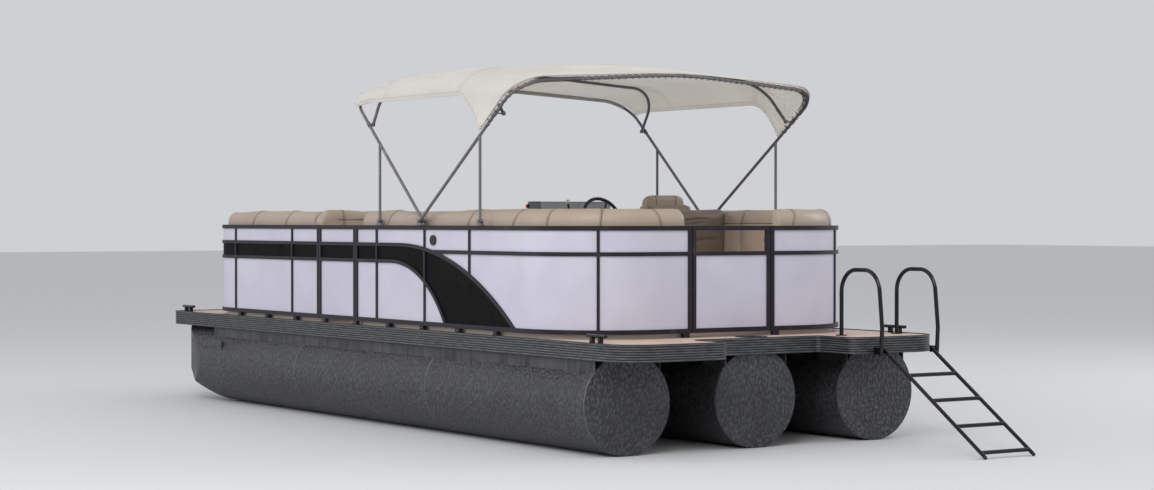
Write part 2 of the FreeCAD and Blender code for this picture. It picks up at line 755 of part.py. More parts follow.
# ---- captain's chair ----
chair_x = -700.0
chair_y = -787.0
chair_post_r = 36.0
chair_foot = (150.0, 12.0)      # radius and height of the pedestal's foot plate
chair_head = (110.0, 15.0)
chair_seat_z = deck_top + 400.0
chair_width = 440.0
chair_depth = 430.0
chair_shell = 40.0
chair_rounds = (60.0, 90.0)     # plan corners of the shell, aft and forward
chair_cushion = 90.0
chair_back_height = 500.0
chair_back_thickness = 90.0
back_plate = 30.0               # thickness of the shell behind the back cushion
back_plate_half = 160.0
back_plate_drop = 60.0          # below the top of the back cushion
arm_height = 210.0
arm_width = 45.0
arm_back = 10.0                 # shell's aft edge to the arm
arm_front = (120.0, 90.0)       # shell's forward edge to the arm's, at its foot and at its head
arm_rail = 45.0                 # height of the arm's top rail
arm_foot = 50.0
arm_post = 50.0
arm_round = 20.0
chair_gap = 2.0                 # cushions to arms
pedestal_top = chair_seat_z - soft_gap
pedestal_at = V(chair_x, chair_y, deck_top)
save("helm_chair_pedestal", fuse([
    Part.makeCylinder(*chair_foot, pedestal_at),
    Part.makeCylinder(chair_post_r, pedestal_top - deck_top, pedestal_at),
    Part.makeCylinder(*chair_head, V(chair_x, chair_y, pedestal_top - chair_head[1])),
]))
seat_x0 = chair_x - chair_depth / 2
seat_x1 = chair_x + chair_depth / 2
shell_top = chair_seat_z + chair_shell
back_x = seat_x0 + back_plate   # forward face of the shell's back plate


def seat_outline(x0, x1, half, aft_round, front_round):
    return ((x0, chair_y - half, aft_round), (x1, chair_y - half, front_round),
            (x1, chair_y + half, front_round), (x0, chair_y + half, aft_round))


shell = [prism(seat_outline(seat_x0, seat_x1, chair_width / 2, *chair_rounds),
               chair_seat_z, shell_top),
         box(seat_x0, back_x, chair_y - back_plate_half, chair_y + back_plate_half,
             shell_top - arm_back, shell_top + chair_back_height - back_plate_drop)]
arm_z = chair_seat_z + chair_shell / 8
for side in (-1, 1):
    y = chair_y + side * (chair_width / 2 - arm_width / 2)
    arm = side_prism((
        (seat_x0 + arm_back, arm_z, 0), (seat_x1 - arm_front[0], arm_z, 0),
        (seat_x1 - arm_front[1], shell_top + arm_height, arm_round),
        (seat_x0 + arm_back, shell_top + arm_height, arm_round),
    ), y - arm_width / 2, y + arm_width / 2)
    hole = side_prism((
        (seat_x0 + arm_back + arm_post, arm_z + arm_foot, arm_round),
        (seat_x1 - arm_front[0] - arm_post, arm_z + arm_foot, arm_round),
        (seat_x1 - arm_front[1] - arm_post, shell_top + arm_height - arm_rail, arm_round),
        (seat_x0 + arm_back + arm_post, shell_top + arm_height - arm_rail, arm_round),
    ), y - arm_width, y + arm_width)
    shell.append(arm.cut(hole))
save("helm_chair_shell", fuse(shell))
inner_half = chair_width / 2 - arm_width - chair_gap
cushion_back_x = back_x + soft_gap + chair_back_thickness + soft_gap
save("helm_chair_cushion",
     prism(seat_outline(cushion_back_x, seat_x1 - 5.0, inner_half, 30.0, 60.0),
           shell_top + soft_gap, shell_top + chair_cushion))
save("helm_chair_back",
     box(back_x + soft_gap, back_x + soft_gap + chair_back_thickness, chair_y - inner_half,
         chair_y + inner_half, shell_top + soft_gap, shell_top + chair_back_height))

# ---- bimini top ----
pivot_z = fence_top + bimini_pivot_rise
bow_r = bow_tube / 2
front_leg_y = fence_y - 20.0
rear_leg_y = fence_y + 10.0
eye_r = 14.0
eye_half = 9.0
pin_r = 5.0
ear = 5.0
ear_gap = 3.5
ear_half = 14.0
bracket_half = 30.0
pin_proud = 3.0
collar_half = 16.0
bow_bend = 240.0
crown_radius = 4500.0
front_joint_drop = 354.698    # main bow's corner to where a secondary bow is pinned
rear_joint_drop = 344.892
front_secondary_angle = 122.0   # degrees from +X
rear_secondary_angle = 44.0
collar_r = 15.0
canopy_peak = 1895.0            # above the deck
canopy_middle_x = -850.0
canopy_camber = 7000.0          # radius of the canopy's lengthwise curve
cross_tube_rise = 78.0          # from a bow's corners to its middle
canopy_sheet = 5.0
canopy_gap = 0.5
slack_over_secondary = 4.0
strut_x = {"front": -150.0, "rear": -1594.0}


def direction(degrees):
    return V(math.cos(math.radians(degrees)), 0, math.sin(math.radians(degrees)))


front_dir = direction(front_bow_rise)
rear_dir = direction(180.0 - rear_bow_rise)
pivot = V(bimini_pivot_x, 0, pivot_z)


def bow_frame(base, along, length, leg_y, crown):
    """A U-shaped bow: two legs from base, rounded corners and a cross tube. The bow leans, so its
    crown is rounder than the canopy's by its lean, and seen endwise the two match."""
    top = base + along * length
    middle = top + along * crown
    points = [(base + V(0, leg_y, 0), 0), (top + V(0, leg_y, 0), bow_bend),
              (middle, crown_radius * along.z),
              (top + V(0, -leg_y, 0), bow_bend), (base + V(0, -leg_y, 0), 0)]
    return tube(points, bow_r)


def eye(base, leg_y, side):
    """A leg's eye and the hole for its pin."""
    ring_eye = Part.makeCylinder(eye_r, 2 * eye_half, base + V(0, side * leg_y - eye_half, 0), Y_AXIS)
    hole = Part.makeCylinder(pin_r + hinge_pin_gap, 4 * eye_half,
                             base + V(0, side * leg_y - 2 * eye_half, 0), Y_AXIS)
    return ring_eye, hole


def pinned_bow(base, along, length, leg_y, crown):
    root = (eye_r + pin_r) / 2 + hinge_pin_gap      # the leg starts in its eye's wall
    pieces = [bow_frame(base + along * root, along, length - root, leg_y, crown)]
    holes = []
    for side in (-1, 1):
        ring_eye, hole = eye(base, leg_y, side)
        pieces.append(ring_eye)
        holes.append(hole)
    return fuse(pieces).cut(fuse(holes))


def joint_collars(at, along, leg_y, inner_y):
    """Clamps on a main bow's legs, with the pin that carries a secondary bow."""
    pieces = []
    for side in (-1, 1):
        centre = at + V(0, side * leg_y, 0)
        pieces.append(rod(centre - along * collar_half, centre + along * collar_half, collar_r))
        inner = at + V(0, side * (inner_y - eye_half - pin_proud), 0)
        pieces.append(rod(inner, centre, pin_r))
    return pieces


secondary_inset = 34.0          # main bow's leg to a secondary bow's, across the boat
secondary_y = front_leg_y - secondary_inset
camber_centre = V(canopy_middle_x, 0, deck_top + canopy_peak - canopy_camber)
canopy_half_y = rear_leg_y + collar_r + canopy_gap


def rounding(radius, half_width, rise):
    """How far a rounded peak lies below the corner that its two slopes would meet in."""
    return radius * (math.hypot(half_width, rise) / half_width - 1)


def bow_sizes(base, along, leg_y, slack):
    """Base, direction, leg's length, leg's y and crown of a bow that reaches up to the canopy."""
    crown = cross_tube_rise / along.z
    below = canopy_sheet + rounding(crown_radius, canopy_half_y, cross_tube_rise)
    radius = canopy_camber - below - canopy_gap - bow_r - slack
    start = base - camber_centre
    b = start.dot(along)
    reach = -b + math.sqrt(b * b - start.dot(start) + radius * radius)
    return base, along, reach + rounding(crown_radius * along.z, leg_y, crown) - crown, leg_y, crown


bows = {                        # base, direction, pin to corner, leg's y, crown
    "bimini_front_bow": bow_sizes(pivot, front_dir, front_leg_y, 0.0),
    "bimini_rear_bow": bow_sizes(pivot, rear_dir, rear_leg_y, 0.0),
}
front_joint_at = pivot + front_dir * (bows["bimini_front_bow"][2] - front_joint_drop)
rear_joint_at = pivot + rear_dir * (bows["bimini_rear_bow"][2] - rear_joint_drop)
bows["bimini_front_secondary_bow"] = bow_sizes(front_joint_at, direction(front_secondary_angle),
                                               secondary_y, slack_over_secondary)
bows["bimini_rear_secondary_bow"] = bow_sizes(rear_joint_at, direction(rear_secondary_angle),
                                              secondary_y, slack_over_secondary)
collars = {
    "bimini_front_bow": joint_collars(front_joint_at, front_dir, front_leg_y, secondary_y),
    "bimini_rear_bow": joint_collars(rear_joint_at, rear_dir, rear_leg_y, secondary_y),
}
for name, sizes in bows.items():
    save(name, fuse([pinned_bow(*sizes)] + collars.get(name, [])))


def rail_bracket(x, leg_ys, side):
    """Ears on the top rail with one pin through the legs' eyes."""
    ys = sorted(leg_ys)
    ear_ys = [ys[0] - eye_half - ear_gap - ear / 2]
    ear_ys += [(a + b) / 2 for a, b in zip(ys, ys[1:])]
    ear_ys.append(ys[-1] + eye_half + ear_gap + ear / 2)
    low, high = ear_ys[0] - ear / 2, ear_ys[-1] + ear / 2
    pieces = [box(x - bracket_half, x + bracket_half, low, high, fence_top, fence_top + ear)]
    for y in ear_ys:
        pieces.append(box(x - ear_half, x + ear_half, y - ear / 2, y + ear / 2, fence_top, pivot_z))
        pieces.append(Part.makeCylinder(ear_half, ear, V(x, y - ear / 2, pivot_z), Y_AXIS))
    pieces.append(Part.makeCylinder(pin_r, high - low + 2 * pin_proud,
                                    V(x, low - pin_proud, pivot_z), Y_AXIS))
    bracket = fuse(pieces)
    return bracket if side > 0 else mirror_y(bracket)


leg_of_strut = {"front": (front_leg_y, front_dir), "rear": (rear_leg_y, rear_dir)}
brackets = []
for side in (-1, 1):
    brackets.append(rail_bracket(bimini_pivot_x, (front_leg_y, rear_leg_y), side))
    for which, x in strut_x.items():
        brackets.append(rail_bracket(x, (leg_of_strut[which][0],), side))
save("bimini_rail_mounts", *brackets)

strut_r = bow_r - 1.0
leg_span = 120.0                # length of leg that a strut's head is cut to fit
for which, x in strut_x.items():
    leg_y, leg_dir = leg_of_strut[which]
    rise = (x - bimini_pivot_x) / leg_dir.x * leg_dir.z
    struts = []
    for side in (-1, 1):
        foot_at = V(x, side * leg_y, pivot_z)
        head = foot_at + Z_AXIS * rise
        leg = rod(head - leg_dir * leg_span, head + leg_dir * leg_span, bow_r + soft_gap)
        ring_eye, hole = eye(V(x, 0, pivot_z), leg_y, side)
        strut = fuse([rod(foot_at, head, strut_r), ring_eye]).cut(hole).cut(leg)
        struts.append(max(strut.Solids, key=lambda solid: solid.Volume))
    save("bimini_%s_struts" % which, *struts)

# canopy: one thin crowned sheet over the four bows, with points reaching down the legs
canopy_bend = 125.0             # radius at the shoulders, inside
canopy_overhang = 20.0
side_edge = deck_top + 1613.0
front_tip = (180.0, deck_top + 1591.0)
rear_tip = (-1600.0, deck_top + 1370.0)
tip_reach = 260.0               # length of side edge that slopes down to a tip
rear_scallop = 150.0
front_scallop = 100.0
skirt = 150.0                   # how far the uncut sides run below the lower tip


def canopy_face(grow):
    """The cross section at the middle of the canopy, grown outwards from its inner face."""
    inner_peak = deck_top + canopy_peak - canopy_sheet
    low = rear_tip[1] - skirt
    half = canopy_half_y
    shoulder = inner_peak - cross_tube_rise
    profile = ((-half, low, 0), (half, low, 0), (half, shoulder, canopy_bend),
               (0.0, inner_peak, crown_radius), (-half, shoulder, canopy_bend))
    return Part.Face(outline(inset(profile, -grow), lambda u, v: V(canopy_middle_x, u, v)))


def bow_middle(name):
    base, along, length, leg_y, crown = bows[name]
    return base + along * (length + crown)


ends = [bow_middle("bimini_rear_bow").x - canopy_overhang,
        bow_middle("bimini_front_bow").x + canopy_overhang]
start_turn, end_turn = [math.degrees(math.asin((x - canopy_middle_x) / canopy_camber))
                        for x in ends]
shell = canopy_face(canopy_sheet).cut(canopy_face(0.0))
shell.rotate(camber_centre, Y_AXIS, start_turn)
canopy = shell.revolve(camber_centre, Y_AXIS, end_turn - start_turn)
front_low = bow_middle("bimini_front_bow").z - 2 * cross_tube_rise
rear_low = bow_middle("bimini_rear_bow").z - 2 * cross_tube_rise
keep_profile = (
    (ends[1], front_low, 0), (far, front_low, 0), (far, fence_top + far, 0),
    (-far, fence_top + far, 0), (-far, rear_low, 0), (ends[0], rear_low, 0),
    (rear_tip[0], rear_tip[1], 0),
    (rear_tip[0] + tip_reach, side_edge, rear_scallop),
    (front_tip[0] - tip_reach, side_edge, front_scallop),
    (front_tip[0], front_tip[1], 0),
)
keep = side_prism(keep_profile, -far, far)
save("canopy", canopy.common(keep))

# ---- grab rails and ladder ----
grab_tube_r = 14.0
grab_gap = 10.0                 # grab rail to ladder
grab_offset = ladder_width / 2 + foot_radius + grab_gap + grab_tube_r
grab_top = 440.0
grab_front_x = stern_x + 330.0
grab_aft_x = stern_x - 40.0
grab_bend = 150.0
grab_knee = (10.0, 60.0, 60.0)  # aft of the hinge's line: how far, height above the deck, bend
grab_foot_drop = 30.0           # hinge to the rail's lower end
flange_r = 38.0
flange_height = 8.0
bracket_plate = 6.0
bracket_rise = 22.0
bracket_past = 12.0
grab_pieces = []
for side in (-1, 1):
    y = ladder_y + side * grab_offset
    rail = tube([
        (V(grab_front_x, y, deck_top), 0), (V(grab_front_x, y, deck_top + grab_top), grab_bend),
        (V(grab_aft_x, y, deck_top + grab_top), grab_bend),
        (V(hinge_x - grab_knee[0], y, deck_top + grab_knee[1]), grab_knee[2]),
        (V(hinge_x, y, hinge_z - grab_foot_drop), 0)], grab_tube_r)
    flange = Part.makeCylinder(flange_r, flange_height, V(grab_front_x, y, deck_top))
    plate = box(hinge_x - bracket_past, stern_x, y - bracket_plate / 2, y + bracket_plate / 2,
                hinge_z - bracket_rise, hinge_z + bracket_rise)
    a, b = sorted((y, ladder_y + side * (ladder_width / 2 - foot_radius - pin_proud)))
    hinge_pin = Part.makeCylinder(pin_r, b - a, V(hinge_x, a, hinge_z), Y_AXIS)
    grab_pieces.append(fuse([rail, flange, plate, hinge_pin]))
save("grab_rails", *grab_pieces)

rung_pitch = 268.0
rung_count = 4
rung_r = 13.0
ladder_eye_r = 16.0
ladder_dir = V(-math.sin(ladder_lean), 0, -math.cos(ladder_lean))
hinge_at = V(hinge_x, ladder_y, hinge_z)
ladder_pieces = []
ladder_holes = []
for side in (-1, 1):
    top = hinge_at + V(0, side * ladder_width / 2, 0)
    ladder_pieces.append(rod(top, top + ladder_dir * ladder_length, foot_radius))
    ladder_pieces.append(Part.makeCylinder(ladder_eye_r, ladder_tube,
                                           top - V(0, foot_radius, 0), Y_AXIS))
    ladder_pieces.append(Part.makeSphere(foot_radius, top + ladder_dir * ladder_length))
    ladder_holes.append(Part.makeCylinder(pin_r + hinge_pin_gap, 2 * ladder_tube,
                                          top - V(0, ladder_tube, 0), Y_AXIS))
for n in range(rung_count):
    centre = hinge_at + ladder_dir * (rung_pitch * (n + 1))
    half_rung = V(0, ladder_width / 2, 0)
    ladder_pieces.append(rod(centre - half_rung, centre + half_rung, rung_r))
save("ladder", fuse(ladder_pieces).cut(fuse(ladder_holes)))

# ---- small fittings ----
fitting_x = -941.0
fitting_drop = 102.0            # below the fence's top edge
fitting_proud = 14.0
fitting_r = 35.0
face_y = fence_y - panel_setback
fitting_at = V(fitting_x, face_y, fence_top - fitting_drop)
save("side_fitting", rod(fitting_at, fitting_at + Y_AXIS * fitting_proud, fitting_r))


cleat_in = 70.0                 # deck edge to a cleat
cleat_from_bow = 175.0
cleat_from_stern = 420.0
cleat_leg = (24.0, 28.0, 36.0)
cleat_leg_apart = 90.0
cleat_horns = 210.0
cleat_r = 11.0
cleat_bar_z = deck_top + 44.0


def cleat(x, y):
    length, width, height = cleat_leg
    legs = [box(x + dx - length / 2, x + dx + length / 2, y - width / 2, y + width / 2,
                deck_top, deck_top + height) for dx in (-cleat_leg_apart / 2, cleat_leg_apart / 2)]
    half_bar = V(cleat_horns / 2, 0, 0)
    bar_at = V(x, y, cleat_bar_z)
    return fuse(legs + [rod(bar_at - half_bar, bar_at + half_bar, cleat_r)])


save("cleats", *[cleat(x, side * (half_beam - cleat_in))
                 for x in (bow_x - cleat_from_bow, stern_x + cleat_from_stern)
                 for side in (-1, 1)])

print("origin_x", origin_x, "deck_top", deck_top, "lean", math.degrees(ladder_lean))
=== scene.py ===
# %% [markdown]
# # A three-tube pontoon boat
# The rigid pieces of this boat come ready made as a fixed frame: tubes, deck, fence, gates, helm,
# bimini bows and ladder. This lesson gives every one of them its finish, and models what is soft
# or small around them: upholstery, canopy, lacing, instruments, bolts, latches, welds and trim.

# %% Load the frame
import json
import math

import bmesh
import bpy
from mathutils import Matrix, Vector, noise


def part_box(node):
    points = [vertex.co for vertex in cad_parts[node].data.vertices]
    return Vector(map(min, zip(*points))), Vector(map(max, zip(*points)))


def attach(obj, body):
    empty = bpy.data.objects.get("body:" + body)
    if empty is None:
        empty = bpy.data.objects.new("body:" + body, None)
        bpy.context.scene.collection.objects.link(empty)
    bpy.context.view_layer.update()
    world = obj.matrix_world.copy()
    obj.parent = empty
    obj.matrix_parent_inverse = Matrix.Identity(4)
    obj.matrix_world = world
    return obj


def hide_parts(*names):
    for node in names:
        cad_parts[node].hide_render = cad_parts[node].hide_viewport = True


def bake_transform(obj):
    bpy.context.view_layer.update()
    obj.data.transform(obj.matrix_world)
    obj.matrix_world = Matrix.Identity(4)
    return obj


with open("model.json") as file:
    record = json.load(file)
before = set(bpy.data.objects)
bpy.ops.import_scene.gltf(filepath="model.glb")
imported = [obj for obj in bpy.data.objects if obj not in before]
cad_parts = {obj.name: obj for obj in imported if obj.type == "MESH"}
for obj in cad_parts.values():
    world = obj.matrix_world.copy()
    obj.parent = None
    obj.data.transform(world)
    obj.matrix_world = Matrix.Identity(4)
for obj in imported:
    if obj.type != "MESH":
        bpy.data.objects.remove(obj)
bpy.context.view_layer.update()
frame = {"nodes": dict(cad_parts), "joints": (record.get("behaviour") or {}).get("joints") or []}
nodes = frame["nodes"]
joints = {joint["name"]: joint for joint in frame["joints"]}
scene = bpy.context.scene
scene.view_settings.view_transform = "Standard"
deck_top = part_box("deck")[1].z
print("deck top at", round(deck_top, 3), "m,", len(nodes), "nodes in the frame")

# %% [markdown]
# ## Camera, floor and light
# A long lens from astern and to port keeps the boat's lines nearly parallel. The floor is one big
# pale plane. Three wide area lamps and a soft sky light the boat evenly, so that each colour shows
# about as it was mixed.

# %% Camera
camera_place = (-14.5865, 9.416, 1.483)
camera_heading, camera_pitch = -33.504, -0.609      # degrees from +X, and up from level

camera_data = bpy.data.cameras.new("camera")
camera_data.lens = 73.43
camera_data.sensor_width = 36.0
camera_data.clip_end = 200.0
camera = bpy.data.objects.new("camera", camera_data)
camera.location = camera_place
camera.rotation_euler = (math.radians(90 + camera_pitch), 0, math.radians(camera_heading - 90))
scene.collection.objects.link(camera)
scene.camera = camera

# %% Floor and lamps
floor_reach = 90.0


def link(obj):
    scene.collection.objects.link(obj)
    return obj


def mesh_object(name, shape):
    """A finished bmesh becomes an object at the origin."""
    mesh = bpy.data.meshes.new(name)
    shape.to_mesh(mesh)
    shape.free()
    return link(bpy.data.objects.new(name, mesh))


floor_shape = bmesh.new()
bmesh.ops.create_grid(floor_shape, x_segments=1, y_segments=1, size=floor_reach)
floor = mesh_object("floor", floor_shape)


def area_lamp(name, place, size, watts, target=Vector((0.0, 0.0, 1.2))):
    data = bpy.data.lights.new(name, "AREA")
    data.size = size
    data.energy = watts
    lamp = link(bpy.data.objects.new(name, data))
    lamp.location = place
    lamp.rotation_euler = (target - Vector(place)).to_track_quat("-Z", "Y").to_euler()


area_lamp("key", (-9.0, 9.0, 9.0), 7.0, 850)
area_lamp("fill", (7.0, 12.0, 5.0), 6.0, 330)
area_lamp("far_side", (-4.0, -12.0, 6.0), 6.0, 420)

# %% [markdown]
# ## A small language for finishes
# Node materials are easier to read as sums and products than as lists of links. `Value` wraps one
# number that changes over a surface, and each operator adds a Math node. `Finish` holds one
# material: `add` makes any other node, `set` joins a value or a number to the shader, and `wear`
# does what nearly every finish needs, a colour between two, a roughness and a relief.

# %% Values


class Value:
    """A number that changes over a surface."""

    def __init__(self, tree, socket):
        self.tree = tree
        self.socket = socket

    def join(self, operation, first, second=0.0):
        node = self.tree.nodes.new("ShaderNodeMath")
        node.operation = operation
        for place, item in zip(node.inputs, (first, second)):
            plug(self.tree, place, item)
        return Value(self.tree, node.outputs[0])

    def __rsub__(self, other):
        return self.join("SUBTRACT", other, self)


def joined_by(operation):
    return lambda self, other=0.0: self.join(operation, self, other)


for method, operation in (
        ("__add__", "ADD"), ("__radd__", "ADD"), ("__sub__", "SUBTRACT"), ("__mul__", "MULTIPLY"),
        ("__rmul__", "MULTIPLY"), ("sine", "SINE"), ("absolute", "ABSOLUTE"),
        ("fraction", "FRACT"), ("less_than", "LESS_THAN"), ("minimum", "MINIMUM"),
        ("maximum", "MAXIMUM")):
    setattr(Value, method, joined_by(operation))


def plug(tree, place, item):
    """Give one socket a value, a colour or a link."""
    if isinstance(item, Value):
        tree.links.new(item.socket, place)
    else:
        place.default_value = item


def add_node(tree, kind, settings=None, inputs=None, output=0):
    """Any node: its settings first, then its sockets. Returns the output that was asked for."""
    node = tree.nodes.new(kind)
    for name, item in (settings or {}).items():
        setattr(node, name, item)
    for name, item in (inputs or {}).items():
        plug(tree, node.inputs[name], item)
    return Value(tree, node.outputs[output])


# %% Finishes


def rgb(red, green, blue):
    """A colour as written on a paint card, 0 to 255, as the linear value that the shader takes."""
    return (*[(c / 255 / 12.92) if c <= 10 else ((c / 255 + 0.055) / 1.055) ** 2.4
              for c in (red, green, blue)], 1.0)


def shade(color, factor):
    return (*[c * factor for c in color[:3]], 1.0)


class Finish:
    """One material: a Principled shader and the nodes that feed it."""

    def __init__(self, name, color, roughness, metallic=0.0, coat=0.0):
        self.material = bpy.data.materials.new(name)
        self.material.use_nodes = True
        self.tree = self.material.node_tree
        self.shader = self.tree.nodes["Principled BSDF"]
        self.material.diffuse_color = color
        for socket, item in (("Base Color", color), ("Roughness", roughness),
                             ("Metallic", metallic), ("Coat Weight", coat)):
            self.set(socket, item)

    def set(self, socket, item):
        plug(self.tree, self.shader.inputs[socket], item)

    def add(self, kind, settings=None, inputs=None, output=0):
        return add_node(self.tree, kind, settings, inputs, output)

    def place(self, scale=(1, 1, 1)):
        """Object coordinates in metres, stretched."""
        where = self.add("ShaderNodeTexCoord", output="Object")
        return self.add("ShaderNodeMapping", None, {"Vector": where, "Scale": scale})

    def axis(self, name, where=None):
        where = where or self.add("ShaderNodeTexCoord", output="Object")
        return self.add("ShaderNodeSeparateXYZ", None, {"Vector": where}, name)

    def noise(self, scale, detail=3.0, where=None, roughness=0.5, output=0):
        return self.add("ShaderNodeTexNoise", None,
                        {"Vector": where or self.place(), "Scale": scale, "Detail": detail,
                         "Roughness": roughness}, output)

    def cells(self, scale, where=None):
        """Round cells that run into each other: 0 in their middles."""
        return self.add("ShaderNodeTexVoronoi", {"feature": "SMOOTH_F1"},
                        {"Vector": where or self.place(), "Scale": scale, "Smoothness": 0.5})

    def mix(self, factor, first, second):
        """A colour between two others."""
        return self.add("ShaderNodeMix", {"data_type": "RGBA"}, {0: factor, 6: first, 7: second}, 2)

    def spread(self, value, low, high):
        """The same value with low as 0 and high as 1, held between them."""
        return self.add("ShaderNodeMapRange", None,
                        {"Value": value, "From Min": low, "From Max": high})

    def wear(self, share, first, second, roughness=None, relief=None, depth=0.0, strength=1.0):
        """A colour between two by a share, a roughness and a bump. Returns the material."""
        self.set("Base Color", self.mix(share, first, second))
        if roughness:
            self.set("Roughness", roughness)
        if relief:
            self.set("Normal", self.add("ShaderNodeBump", None, {
                "Height": relief, "Distance": depth, "Strength": strength}))
        return self.material


# %% Sky and floor finish
world = bpy.data.worlds.new("sky")
scene.world = world
world.use_nodes = True
sky = world.node_tree
sky.nodes.clear()
rays = [add_node(sky, "ShaderNodeLightPath", output=name)
        for name in ("Is Camera Ray", "Is Glossy Ray", "Is Transmission Ray")]
seen = rays[0].maximum(rays[1]).maximum(rays[2])
soft_light, plain_view = (
    add_node(sky, "ShaderNodeBackground", None, {"Color": color, "Strength": strength})
    for color, strength in (((1, 1, 1, 1), 0.67), ((0.62, 0.63, 0.65, 1.0), 1.0)))
both = add_node(sky, "ShaderNodeMixShader", None, {0: seen, 1: soft_light, 2: plain_view})
sky_output = sky.nodes.new("ShaderNodeOutputWorld")
sky.links.new(both.socket, sky_output.inputs["Surface"])
floor.data.materials.append(Finish("floor_paint", (0.66, 0.67, 0.69, 1.0), 0.85).material)

# %% [markdown]
# ## Finishes of the rigid pieces
# The hull tubes are hammered aluminium gone dark: dimples taller than wide, on a fine grain, under
# a faint grey bloom. Dimples are far too many to model, so they are bump, and the same pattern
# darkens the hollows.

# %% Hull finishes


def hammered_aluminium():
    finish = Finish("hammered_aluminium", rgb(92, 92, 97), 0.45, 0.55)
    place = finish.place()
    warp = finish.noise(14.0, 2.0, place, output=1)
    bent = finish.add("ShaderNodeMix", {"data_type": "VECTOR"}, {0: 0.02, 4: place, 5: warp}, 1)
    tall = finish.add("ShaderNodeMapping", None, {"Vector": bent, "Scale": (1.0, 1.0, 0.55)})
    dimples, small = finish.cells(62.0, tall), finish.noise(120.0)
    bloom = finish.spread(finish.noise(2.2, 4.0), 0.35, 0.7)
    hollow = finish.spread(dimples * 0.7 + small * 0.3, 0.18, 0.55)
    plain = finish.mix(bloom, rgb(86, 87, 91), rgb(108, 109, 112))
    return finish.wear(hollow * 0.7, plain, rgb(42, 42, 47), 0.36 + 0.22 * bloom,
                       dimples * 0.8 + small * 0.35, 0.013, 0.95)


def riser_metal():
    """Sheet metal with run marks that fall straight down from the deck."""
    finish = Finish("riser_metal", rgb(70, 68, 72), 0.45, 0.5)
    streaks = finish.noise(1.0, 3.0, finish.place((15, 15, 3.0)))
    marks = finish.spread(streaks * 0.7 + finish.noise(6.0) * 0.3, 0.38, 0.64)
    return finish.wear(marks, rgb(42, 41, 45), rgb(92, 90, 94), 0.38 + 0.3 * marks,
                       streaks, 0.001, 0.3)


def fluted_vinyl():
    """The rub rail: dark extruded vinyl. Its ridges are painted pale in short dashes, a painted
    highlight, and the grooves between them are painted dark, painted shade."""
    finish = Finish("fluted_vinyl", rgb(58, 59, 60), 0.5)
    rail_foot, ridge_pitch = 0.610, 0.110 / 7
    across = ((finish.axis("Z") - rail_foot) * (1 / ridge_pitch)).fraction()
    ridge = 1 - 2 * (across - 0.5).absolute()
    dashes = finish.noise(1.0, 3.0, finish.place((13.0, 13.0, 110.0)))
    grain = finish.noise(60.0, 4.0)
    # ridges painted pale and grooves dark: painted highlight and painted shade of the flutes
    ridge_highlight = finish.spread(ridge * 0.62 + dashes * 0.75, 0.62, 1.0)
    return finish.wear(ridge_highlight, rgb(30, 31, 33), rgb(94, 97, 99), 0.42 + 0.25 * grain,
                       grain + ridge, 0.0012, 0.4)


def deck_vinyl():
    """Woven vinyl flooring: fine warp and weft with a heathered beige."""
    finish = Finish("deck_vinyl", rgb(200, 178, 164), 0.72)
    weave_pitch = 0.006
    turn = 2 * math.pi / weave_pitch
    weave = (finish.axis("X") * turn).sine() * (finish.axis("Y") * turn).sine()
    heather = finish.noise(420.0, 2.0)
    tone = finish.spread(heather * 0.6 + finish.noise(3.0) * 0.4, 0.38, 0.62)
    return finish.wear(tone, rgb(184, 160, 146), rgb(212, 192, 178), None,
                       weave + heather, 0.0008, 0.5)


# %% Fence and fitting finishes


def enamel(name, color, roughness, wear_color, share=0.35, gleam=0.25):
    """Baked enamel on metal, a little uneven, worn along its runs."""
    finish = Finish(name, color, roughness)
    finish.set("Specular IOR Level", gleam)
    rubbed = finish.spread(finish.noise(9.0, 6.0, roughness=0.65), 0.56, 0.74)
    return finish.wear(rubbed * share, color, wear_color, roughness + 0.2 * rubbed,
                       finish.noise(150.0), 0.0004, 0.25)


def panel_gelcoat():
    """Lavender-white aluminium skin: long shallow waves that only a reflection shows."""
    finish = Finish("panel_gelcoat", rgb(197, 194, 210), 0.34, coat=0.15)
    waves = finish.noise(1.3, 2.0, finish.place((1.0, 1.0, 1.6)))
    dust = finish.noise(5.0, 5.0)
    return finish.wear(finish.spread(waves * 0.6 + dust * 0.4, 0.38, 0.62), rgb(193, 190, 206),
                       rgb(201, 199, 213), 0.34 + 0.12 * dust, waves, 0.003, 0.15)


def tinted_screen():
    finish = Finish("tinted_screen", rgb(30, 32, 36), 0.06, coat=0.4)
    finish.set("Alpha", 0.55)
    finish.set("Roughness", 0.05 + 0.12 * finish.noise(12.0, 4.0))
    return finish.material


def gloss_black():
    """Powder coat with an orange-peel skin."""
    finish = Finish("gloss_black", rgb(12, 12, 14), 0.16, coat=0.35)
    finish.set("Specular IOR Level", 0.25)
    dust = finish.spread(finish.noise(7.0, 5.0), 0.55, 0.8)
    return finish.wear(dust * 0.25, rgb(10, 10, 12), rgb(48, 47, 50), 0.16 + 0.25 * dust,
                       finish.noise(240.0, 2.0), 0.0003, 0.3)


def moulded_plastic(name, color, roughness):
    finish = Finish(name, color, roughness)
    patch = finish.spread(finish.noise(4.0), 0.35, 0.7)
    return finish.wear(patch * 0.5, color, shade(color, 0.82), roughness + 0.15 * patch,
                       finish.noise(300.0, 2.0), 0.0004, 0.4)


def anodised_tube():
    """Charcoal anodised tube, finely brushed, scuffed where it was slid through clamps."""
    finish = Finish("anodised_tube", rgb(124, 121, 123), 0.38, 0.2)
    brush = finish.noise(1.0, 3.0, finish.place((40, 40, 40)))
    scuff = finish.spread(finish.noise(16.0, 5.0, roughness=0.7), 0.55, 0.72)
    return finish.wear(scuff * 0.5, rgb(110, 107, 109), rgb(168, 164, 163), 0.34 + 0.2 * brush,
                       brush, 0.0003, 0.3)


